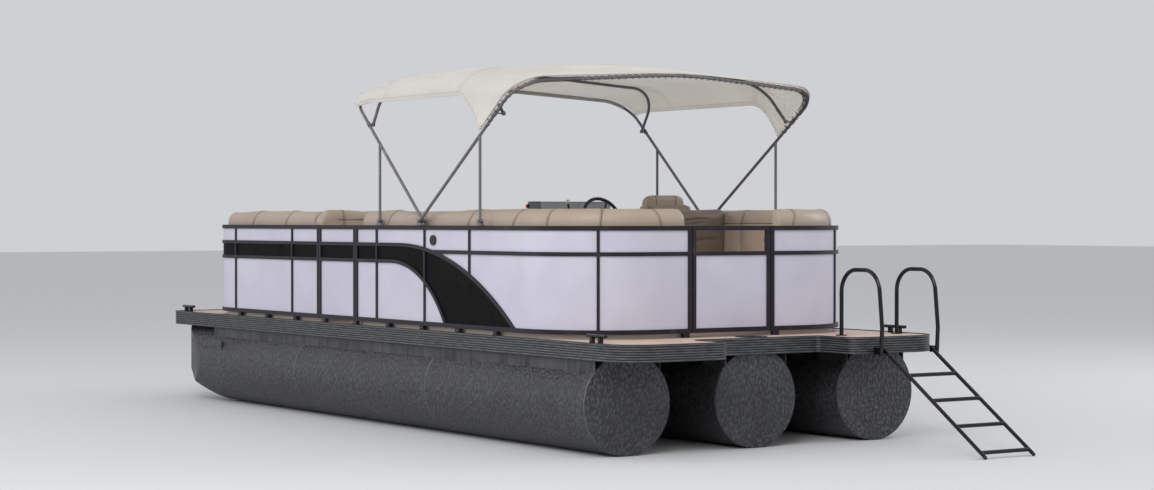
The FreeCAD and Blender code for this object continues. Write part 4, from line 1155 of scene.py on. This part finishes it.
# %% Canopy's lines
pivot = Vector(joints["bimini_front_fold"]["pos_m"])
aft_lean, fore_lean = math.radians(35.3), math.radians(41.5)
camber, peak_x, peak_z = 7.0, -0.3415, deck_top + 1.895
crown_round, crown_slope = 4.5, 0.0613
corner_round, corner_drop = 0.24, 0.165
edge_z = deck_top + 1.613
aft_tip, fore_tip = (-1.0915, deck_top + 1.370), (0.6885, deck_top + 1.591)
aft_scallop, fore_scallop = 0.33, 0.26          # how far from its tip each scallop begins
aft_half, fore_half = 1.2755, 1.2475
bow_xs = (-1.66, -0.893, 0.283, 0.868)
aft_gap, fore_over = 0.022, 0.004               # the sheet's ends, ahead of the bows' middles
cloth, cloth_length = 0.002, 2.55
below_peak = 0.013                              # the cloth's underside, under the peak


def held_to_one(share):
    return min(1.0, max(0.0, share))


def crown_drop(y):
    """How far the crown has fallen at y: round at the middle, then two straight slopes."""
    round_to = crown_round * math.sin(math.atan(crown_slope))
    y = abs(y)
    if y < round_to:
        return crown_round - math.sqrt(crown_round ** 2 - y * y)
    level = crown_round - math.sqrt(crown_round ** 2 - round_to ** 2)
    return level + (y - round_to) * crown_slope


def sag(x):
    for a, b in zip(bow_xs, bow_xs[1:]):
        if a < x < b:
            return 0.016 * ((b - a) / 1.18) ** 2 * math.sin(math.pi * (x - a) / (b - a)) ** 2
    return 0.0


def crest(x):
    fall = camber - math.sqrt(camber ** 2 - (x - peak_x) ** 2)
    return peak_z - below_peak + cloth - fall - sag(x)


def hem_height(x):
    """The lower edge of the side: nearly straight, with a scallop to each tip."""
    aft = held_to_one((x - aft_tip[0]) / aft_scallop)
    fore = held_to_one((fore_tip[0] - x) / fore_scallop)
    return (edge_z - (edge_z - aft_tip[1]) * (1 - aft) ** 2.3
            - (edge_z - fore_tip[1]) * (1 - fore) ** 2.0)


def half_width(x):
    share = held_to_one((x - bow_xs[0]) / (bow_xs[-1] - bow_xs[0]))
    return aft_half + (fore_half - aft_half) * share


def section(x):
    """The cross section at x from the middle out: points (y, z) down to the hem."""
    half, top, low = half_width(x), crest(x), hem_height(x)
    start = half - corner_round
    points = [(start * k / 5, top - crown_drop(start * k / 5)) for k in range(6)]
    base = points[-1][1]
    for k in range(1, 11):
        a = math.pi / 2 * k / 10
        points.append((start + corner_round * math.sin(a),
                       base - crown_slope * 0.1 * math.sin(a) - corner_drop * (1 - math.cos(a))))
    points.append((half, min(low, points[-1][1] - 0.01)))
    kept = [points[0]]
    for a, b in zip(points, points[1:]):
        if b[1] < low:
            share = (a[1] - low) / (a[1] - b[1]) if a[1] > b[1] else 0
            kept.append((a[0] + (b[0] - a[0]) * share, low))
            break
        kept.append(b)
    return kept


def on_section(points, share):
    """The place at a share of the section's length, and that length."""
    steps = [math.dist(a, b) for a, b in zip(points, points[1:])]
    total = sum(steps)
    left = share * total
    for a, b, step in zip(points, points[1:], steps):
        if left <= step:
            t = left / step if step else 0
            return a[0] + (b[0] - a[0]) * t, a[1] + (b[1] - a[1]) * t, total
        left -= step
    return (*points[-1], total)


def canopy_place(u, v):
    """Where a point of the sheet goes. The bows lean, so its x depends on its height and its
    height on its x; half steps towards the answer settle where whole ones would swing."""
    z = 2.5
    for _ in range(12):
        aft_x = pivot.x - (z - pivot.z) / math.tan(aft_lean) + aft_gap
        fore_x = pivot.x + (z - pivot.z) / math.tan(fore_lean) + fore_over
        x = aft_x + (fore_x - aft_x) * u
        y, height, girth = on_section(section(x), abs(v))
        z += (height - z) * 0.45
    return Vector((x, math.copysign(y, v), height)), girth


# %% Canopy
canopy_columns, canopy_rows = 116, 150
tip_x, tip_y, tip_z = -1.12, 1.27, 2.10
sheet = bmesh.new()
bmesh.ops.create_grid(sheet, x_segments=canopy_columns, y_segments=canopy_rows, size=1.0)
uv = sheet.loops.layers.uv.new("UVMap")
measured = {}           # along the cloth, up from the hem, and the share of its length
for vertex in sheet.verts:
    u, v = (vertex.co.x + 1) / 2, vertex.co.y
    vertex.co, girth = canopy_place(u, v)
    measured[vertex] = (u * cloth_length, girth - abs(v) * girth, u)
sheet.normal_update()
moves = []
for vertex in sheet.verts:
    co = vertex.co
    slow = noise.noise(Vector((co.x * 1.6, co.y * 3.2, co.z * 3.0))) * 0.0035
    fine = noise.noise(Vector((co.x * 5.0, co.y * 13.0, co.z * 11.0))) * 0.0012
    pulls = 0.0
    for side in (-1, 1):                # pulls that fan out from the tips
        reach = (co - Vector((tip_x, side * tip_y, tip_z))).length
        fan = math.atan2(co.z - tip_z, co.x - tip_x + (abs(co.y) - tip_y) * 0.6)
        pulls += 0.0042 * math.sin(fan * 24) * math.exp(-reach / 0.24) * min(1.0, reach / 0.08)
    near_bow = min(abs(co.x - x) for x in bow_xs)
    lift = min(1.0, near_bow / 0.09) if co.z > 2.36 else 1.0
    share = measured[vertex][2]         # taut where the sheet ends at a bow
    lift *= min(1.0, share / 0.04) * min(1.0, (1 - share) / 0.06)
    moves.append((vertex, vertex.normal * (slow + fine + pulls) * lift))
for vertex, move in moves:
    vertex.co += move
for face in sheet.faces:
    for loop in face.loops:
        loop[uv].uv = measured[loop.vert][:2]
flat_area = sum(face.calc_area() for face in sheet.faces)
print("canopy measures", round(flat_area, 2), "square metres")

# %% Canopy finish
pocket_places, pocket_half = (0.773, 1.958), 0.035
aft_hem_width, side_hem_width, thread_gap = 0.034, 0.030, 0.0016


def canopy_fabric(name="canopy_fabric", hemmed=True):
    """Woven acrylic, its hems darker where they are doubled, with stitched pockets at the bows."""
    finish = Finish(name, rgb(190, 188, 184), 0.82)
    finish.set("Sheen Weight", 0.15)
    finish.shader.subsurface_method = "BURLEY"
    finish.set("Subsurface Weight", 0.9)            # thin cloth lets the sky through
    finish.set("Subsurface Radius", (1.0, 0.96, 0.9))
    finish.set("Subsurface Scale", 0.02)
    stain = finish.spread(finish.noise(1.8, 5.0), 0.4, 0.75)
    aged = stain * 0.5 + finish.noise(11.0, 4.0) * 0.15
    clean, weathered = rgb(194, 192, 188), rgb(176, 173, 166)
    slub = finish.noise(1.0, 3.0, finish.place((60, 900, 900)))
    if not hemmed:
        return finish.wear(aged, clean, weathered, None, slub, 0.0006, 0.4)
    where = finish.add("ShaderNodeUVMap", {"uv_map": "UVMap"}, output="UV")
    along, above = finish.axis("X", where), finish.axis("Y", where)
    turn = 2 * math.pi / thread_gap
    weave = (along * turn).sine() * (above * turn).sine()
    aft_hem, side_hem = along.less_than(aft_hem_width), above.less_than(side_hem_width)
    off_pocket = [(along - at).absolute() for at in pocket_places]
    pocket = off_pocket[0].less_than(pocket_half).maximum(off_pocket[1].less_than(pocket_half))
    rows = [(along - 0.032).absolute(), (along - 0.006).absolute(), (above - 0.028).absolute(),
            *[(off - 0.033).absolute() for off in off_pocket]]
    closest = rows[0]
    for row in rows[1:]:
        closest = closest.minimum(row)
    stitched = closest.less_than(0.0016)
    dashed = ((along + above) * 90.0).fraction().less_than(0.7) * stitched
    doubled = finish.mix(side_hem.maximum(pocket) * 0.16,
                         finish.mix(aft_hem * 0.75, finish.mix(aged, clean, weathered),
                                    rgb(128, 130, 114)), rgb(150, 146, 136))
    layers = side_hem.maximum(aft_hem).maximum(pocket)
    return finish.wear(dashed * 0.6, doubled, rgb(112, 108, 100), None,
                       weave * 0.12 + slub * 0.2 + layers * 1.2 - stitched * 0.9, 0.0016, 0.6)


thin = mesh_object("canopy_thin", sheet)
solid = thin.modifiers.new("thickness", "SOLIDIFY")
solid.thickness, solid.offset = cloth, -1.0
canopy_top = link(bpy.data.objects.new("canopy_top", mesh_of(thin)))
bpy.data.objects.remove(thin)
piece("canopy_top", canopy_top, canopy_fabric(), None, "canopy_fabric", angle=70)

# %% [markdown]
# ## Hems and lacing
# The front edge is a pocket that the front bow runs through. The aft edge is laced to the aft bow:
# a thin cord goes round the tube and through the hem, turn after turn, and it is bunched near the
# corners where it was tied off. Both follow the bows' own lines.

# %% Bow lines
crown_rise = 0.078


def bow_line(lean, ahead, length, leg_y):
    """Points on a main bow's centre line, from one foot over the top to the other. ahead is 1
    for a bow that leans forward and -1 for one that leans aft."""
    along = Vector((ahead * math.cos(lean), 0, math.sin(lean)))
    flat = rounded([(-leg_y, 0, 0), (-leg_y, length, corner_round),
                    (0, length + crown_rise / along.z, crown_round * along.z),
                    (leg_y, length, corner_round), (leg_y, 0, 0)], closed=False, step=0.12)
    return [pivot + along * t + Vector((0, w, 0)) for w, t in flat]


def evenly(points, gap):
    """The same line with a point at every gap."""
    spots, left = [points[0]], gap
    for a, b in zip(points, points[1:]):
        span, gone = (b - a).length, 0.0
        while span - gone >= left:
            gone += left
            spots.append(a.lerp(b, gone / span))
            left = gap
        left -= span - gone
    return spots


fore_bow = bow_line(fore_lean, 1, 1.4127, 1.227)
aft_bow = bow_line(aft_lean, -1, 1.5829, 1.257)
print("bows reach", round(max(p.z for p in fore_bow), 3), round(max(p.z for p in aft_bow), 3))

# %% Front pocket and lacing
pocket_low, lacing_low = 2.36, 2.11
lace_step, lace_centre, lace_reach, lace_side = 0.0015, 0.010, 0.0235, 0.0142
sleeve = [p for p in evenly(fore_bow, 0.02) if p.z > pocket_low]
pocket = tube_piece("canopy_front_pocket", [sleeve], 0.0142,
                    canopy_fabric("pocket_fabric", hemmed=False), "bimini_front",
                    "canopy_fabric", sides=4, angle=40)

cord_finish = Finish("lacing_cord", rgb(34, 32, 33), 0.75)
braid = cord_finish.noise(700.0, 2.0)
cord = cord_finish.wear(braid, rgb(24, 23, 24), rgb(58, 54, 54), None, braid, 0.0005, 0.6)


def lace_pitch(spot):
    """Bunched at the port shoulder and by the starboard corner, open elsewhere."""
    bunched = (0.80 < spot.y < 1.16 and spot.z > 2.3) or (spot.y < -1.08 and spot.z > 2.25)
    return 0.016 if bunched else 0.052


def lacing(line):
    """Turns round the bow and through the hem."""
    turns, phase = [], 0.0
    spots = evenly(line, lace_step)
    for i, spot in enumerate(spots[1:-1], 1):
        tangent = (spots[i + 1] - spots[i - 1]).normalized()
        forward = (Vector((1, 0, 0)) - tangent * tangent.x).normalized()
        phase += lace_step / lace_pitch(spot) * 2 * math.pi
        turns.append(spot + forward * (lace_centre + lace_reach * math.cos(phase))
                     + tangent.cross(forward) * lace_side * math.sin(phase))
    return turns


laced = [p for p in evenly(aft_bow, 0.01) if p.z > lacing_low]
lace = tube_piece("canopy_lacing", [lacing(laced)], 0.0019, cord, "bimini_rear", "black_plastic",
                  sides=2)
print("lacing has", len(lace.data.polygons), "faces")

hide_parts("canopy")
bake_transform(canopy_top)

# %% [markdown]
# ## Turned fittings
# Dials, knobs, bolt heads and lenses are all turned shapes: a short profile of radius and height is
# spun round an axis. `turned` makes one upright at the origin, tips it over to its axis and adds it
# to a piece, so that all fittings of one finish can be one piece.

# %% Turned shapes


def turned(shape, profile, at, axis, steps):
    """Adds a profile of (radius, height) points, spun round an axis that starts at a point."""
    fresh = bmesh.new()
    rim = [fresh.verts.new((radius, 0, height)) for radius, height in profile]
    edges = [fresh.edges.new(pair) for pair in zip(rim, rim[1:])]
    bmesh.ops.spin(fresh, geom=rim + edges, cent=(0, 0, 0), axis=(0, 0, 1), angle=2 * math.pi,
                   steps=steps, use_merge=True)
    bmesh.ops.remove_doubles(fresh, verts=fresh.verts, dist=1e-6)
    bmesh.ops.recalc_face_normals(fresh, faces=fresh.faces)
    tip = Vector((0, 0, 1)).rotation_difference(Vector(axis)).to_matrix().to_4x4()
    fresh.transform(Matrix.Translation(at) @ tip)
    add_shape(shape, fresh)


def turned_piece(name, profile, at, axis, material, slot, angle=40):
    shape = bmesh.new()
    turned(shape, profile, at, axis, 18)
    piece(name, shape, material, "hull", slot, angle)


def bar(shape, at, ahead, out, size, edge=0.0):
    """Adds a small bar lying on a surface: ahead is its length, out is away from the surface."""
    ahead, out = Vector(ahead).normalized(), Vector(out).normalized()
    turn = Matrix((ahead, out.cross(ahead), out)).transposed().to_4x4()
    fresh = bmesh.new()
    bmesh.ops.create_cube(fresh, size=1.0, matrix=Matrix.Diagonal((*size, 1.0)))
    if edge:
        bmesh.ops.bevel(fresh, geom=fresh.edges[:], offset=edge, segments=2, **bevelled)
    fresh.transform(Matrix.Translation(Vector(at) + out * size[2] / 2) @ turn)
    add_shape(shape, fresh)


# %% [markdown]
# ## Instruments
# The dash slopes up and forward. Everything on it is placed by two numbers, up the slope and
# across it. Three dials stand above the wheel, with plain scales and red needles, and a row of
# rocker switches beside them.

# %% Dials and switches
dash_foot = Vector((0.4885, -0.790, 1.405))
dash_up = Vector((0.250, 0, 0.160)).normalized()
dash_out = Vector((-dash_up.z, 0, dash_up.x))
dial_radius, dial_up, dial_ticks = 0.034, 0.222, 20
scale_start, scale_sweep = -135, 270        # degrees from straight up the dash
switch_across, switch_pitch = 0.205, 0.026


def on_dash(up, across, lift=0.0):
    return dash_foot + dash_up * up + Vector((0, across, 0)) + dash_out * lift


def dial_ray(degrees):
    """The way outward on a dial."""
    turn = math.radians(degrees)
    return dash_up * math.cos(turn) + Vector((0, 1, 0)) * math.sin(turn)


bezels, faces, marks, needles, switches = (bmesh.new() for _ in range(5))
for across in (-0.125, 0.0, 0.125):
    middle = on_dash(dial_up, across)
    turned(bezels, [(dial_radius, 0.002), (dial_radius, 0.0065), (dial_radius + 0.002, 0.0085),
                    (dial_radius + 0.005, 0.0075), (dial_radius + 0.0065, 0.003),
                    (dial_radius + 0.0065, 0.0)], middle, dash_out, 28)
    turned(faces, [(0.0, 0.0032), (dial_radius * 0.6, 0.0030), (dial_radius, 0.0028)],
           middle, dash_out, 28)
    for k in range(dial_ticks + 1):
        ray = dial_ray(scale_start + scale_sweep * k / dial_ticks)
        long = 0.006 if k % 5 == 0 else 0.0035
        bar(marks, middle + ray * (dial_radius - 0.003 - long / 2) + dash_out * 0.0031, ray,
            dash_out, (long, 0.0010, 0.0003))
    resting = dial_ray(scale_start)
    bar(needles, middle + resting * 0.009 + dash_out * 0.0040, resting, dash_out,
        (0.026, 0.0014, 0.0008))
    turned(needles, [(0, 0.0062), (0.003, 0.0060), (0.0038, 0.0035)], middle, dash_out, 12)
for k in range(5):
    across = switch_across + switch_pitch * k
    bar(switches, on_dash(0.225, across), dash_up, dash_out, (0.030, 0.018, 0.004), 0.0015)
    bar(switches, on_dash(0.228, across, 0.003), dash_up, dash_out + dash_up * 0.15,
        (0.020, 0.012, 0.005), 0.0018)


def enamel_dot(name, color, rough=0.35):
    """A small sprayed part, so even that only a fine speckle shows."""
    finish = Finish(name, color, rough, coat=0.4)
    speckle = finish.noise(180.0, 2.0)
    return finish.wear(speckle, shade(color, 0.9), shade(color, 1.08), None, speckle, 0.0003, 0.2)


trim_finish = Finish("trim_metal", rgb(176, 176, 178), 0.3, 0.8)
rubbed = trim_finish.noise(90.0, 3.0)
trim_metal = trim_finish.wear(rubbed, rgb(150, 150, 153), rgb(200, 200, 202), 0.24 + 0.2 * rubbed)
red_paint = enamel_dot("red_paint", rgb(190, 36, 28))

for name, shape, material, slot, angle in (
        ("dial_bezels", bezels, trim_metal, "black_plastic", 40),
        ("dial_faces", faces, enamel_dot("dial_face", rgb(226, 225, 218), 0.5),
         "console_plastic", 40),
        ("dial_marks", marks, finishes["gloss"], "black_plastic", 30),
        ("dial_needles", needles, red_paint, "black_plastic", 30),
        ("rocker_switches", switches, finishes["gloss"], "black_plastic", 40)):
    piece(name, shape, material, "hull", slot, angle)
print("three dials and five switches on a dash of", round(math.degrees(dash_up.angle((1, 0, 0)))),
      "degrees")

# %% [markdown]
# ## Screen trim, throttle knob and side light
# The low screen is only a sheet of dark acrylic, so its bright edge trim is what one sees of it
# from afar. The trim is a thin tube along the screen's head, round both corners. On the port
# corner sits a small red light, and the throttle ends in a white knob.

# %% Screen trim, knob and light
screen_low, screen_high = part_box("windscreen")
trim_in, screen_corner = 0.003, 0.117
trim_aft, trim_fore = screen_low.x + 0.002, screen_high.x - trim_in
trim_right, trim_left = screen_low.y + trim_in, screen_high.y - trim_in
trim_line = rounded([(trim_aft, trim_left, 0), (trim_fore, trim_left, screen_corner),
                     (trim_fore, trim_right, screen_corner), (trim_aft, trim_right, 0)],
                    closed=False, step=0.12)
tube_piece("screen_trim", [[(*p, screen_high.z + 0.001) for p in trim_line]], 0.0042, trim_metal,
           "hull", "console_plastic")

light_at = Vector((1.000, screen_high.y - 0.002, 1.592))
turned_piece("side_light_base", [(0.017, 0.0), (0.017, 0.006), (0.0145, 0.008)],
             light_at, (0, 1, 0), finishes["gloss"], "black_plastic")
turned_piece("side_light_lens", [(0.014, 0.006), (0.0135, 0.013), (0.010, 0.018), (0.0, 0.020)],
             light_at, (0, 1, 0), red_paint, "black_plastic")
lever_head, lever_way = Vector((0.5785, -0.540, 1.612)), Vector((0.030, 0, 0.120)).normalized()
turned_piece("throttle_knob", [(0.0, -0.006), (0.0112, -0.005), (0.0150, 0.003), (0.0175, 0.013),
                               (0.0160, 0.022), (0.0100, 0.0275), (0.0, 0.029)],
             lever_head, lever_way, enamel_dot("white_paint", rgb(222, 221, 220), 0.3),
             "console_plastic", angle=60)

# %% [markdown]
# ## Chair pads
# Each arm of the chair carries a long soft cap, and a rolled bolster stands on its rear end beside
# the back. They are blown up like the other pads, but only a little.

# %% Chair arm caps and bolsters
chair_middle_y, arm_reach, arm_top = -0.787, 0.1975, 1.366
cap_aft, cap_fore, cap_half = -0.322, -0.070, 0.026
bolster_x = -0.362
for side, word in ((1, "port"), (-1, "starboard")):
    arm_y = chair_middle_y + side * arm_reach
    cap = block((cap_aft, arm_y - cap_half, arm_top), (cap_fore, arm_y + cap_half, arm_top + 0.024),
                (0.010, 0.010, 0.004, 0.004), 0.008)
    soft = swell("arm_cap_" + word, cap, 0.009, lambda co: co.z < arm_top + 0.006, 0.005)
    rumple(soft, 0.0012, 14.0)
    welt = level_loop(soft, arm_top + 0.007)
    piping("arm_cap_piping_" + word, [welt], Vector, body="helm_chair", radius=0.003)
    padded("helm_chair_arm_cap_" + word, soft, body="helm_chair")

    roll = block((0, -0.024, -0.036), (0.222, 0.024, 0.036), (0.020, 0.020, 0.020, 0.020), 0.018)
    soft = swell("bolster_" + word, roll, 0.010, lambda co: co.x < 0.012, 0.006)
    rumple(soft, 0.0015, 12.0)
    foot = Vector((bolster_x, arm_y - side * 0.002, arm_top + 0.002))
    bend(soft, lambda co: foot + Vector((co.z, co.y, co.x)), True)
    padded("helm_chair_bolster_" + word, soft, body="helm_chair")

# %% [markdown]
# ## Fastenings and welds
# Each fence foot has a bolt head on its outer side. Each gate has a small slide latch on the inner
# side of its free post. The tubes are made of lengths welded end to end, and the weld beads are
# thin rings, left open underneath where the tube rests.

# %% Bolts, latches and weld beads
bolts = bmesh.new()
foot_x, foot_pitch = 2.6685, 0.490
while foot_x > -1.6755:
    for side in (-1, 1):
        turned(bolts, [(0.0065, 0.0), (0.0065, 0.0035), (0.0045, 0.0045), (0.0, 0.0045)],
               (foot_x, side * 1.2445, 0.730), (0, side, 0), 6)
    foot_x -= foot_pitch
piece("foot_bolts", bolts, finishes["bimini"], "hull", "frame_black")

latch_height = 1.335
latches = {             # the gate's body: a point on its inner face, which way is in, and across
    "port_gate": ((0.7225, 1.217, latch_height), (0, -1, 0), (1, 0, 0)),
    "stern_gate": ((-2.1840, 0.304, latch_height), (1, 0, 0), (0, 1, 0)),
    "bow_gate": ((3.2275, -0.330, latch_height), (-1, 0, 0), (0, 1, 0)),
}
for body, (at, way_in, across) in latches.items():
    at, way_in = Vector(at), Vector(way_in)
    shape = bmesh.new()
    bar(shape, at, (0, 0, 1), way_in, (0.060, 0.022, 0.003), 0.001)
    bar(shape, at + way_in * 0.003, across, way_in, (0.022, 0.010, 0.006), 0.002)
    turned(shape, [(0.0042, 0.0), (0.0042, 0.010), (0.0060, 0.012), (0.0060, 0.017),
                   (0.0, 0.0185)], at + way_in * 0.008, way_in, 12)
    piece(body + "_latch", shape, finishes["gloss"], body, "rail_black")

bead_finish = Finish("weld_bead", rgb(112, 112, 116), 0.4, 0.6)
ripples = bead_finish.noise(160.0, 2.0)
bead = bead_finish.wear(ripples, rgb(78, 78, 82), rgb(140, 140, 144), None, ripples, 0.002, 0.8)
tube_radius, tube_ys, bead_xs = 0.325, (-1.015, 0.0, 1.015), (-2.462, -0.480, 1.510)
bead_round, bead_start, bead_sweep = tube_radius - 0.0015, -68, 316
turns = [math.radians(bead_start + bead_sweep * k / 60) for k in range(61)]
rings = [[(x, tube_y + bead_round * math.cos(a), tube_radius + bead_round * math.sin(a))
          for a in turns] for tube_y in tube_ys for x in bead_xs]
tube_piece("hull_weld_beads", rings, 0.0035, bead, "hull", "pontoon_aluminium", sides=1)
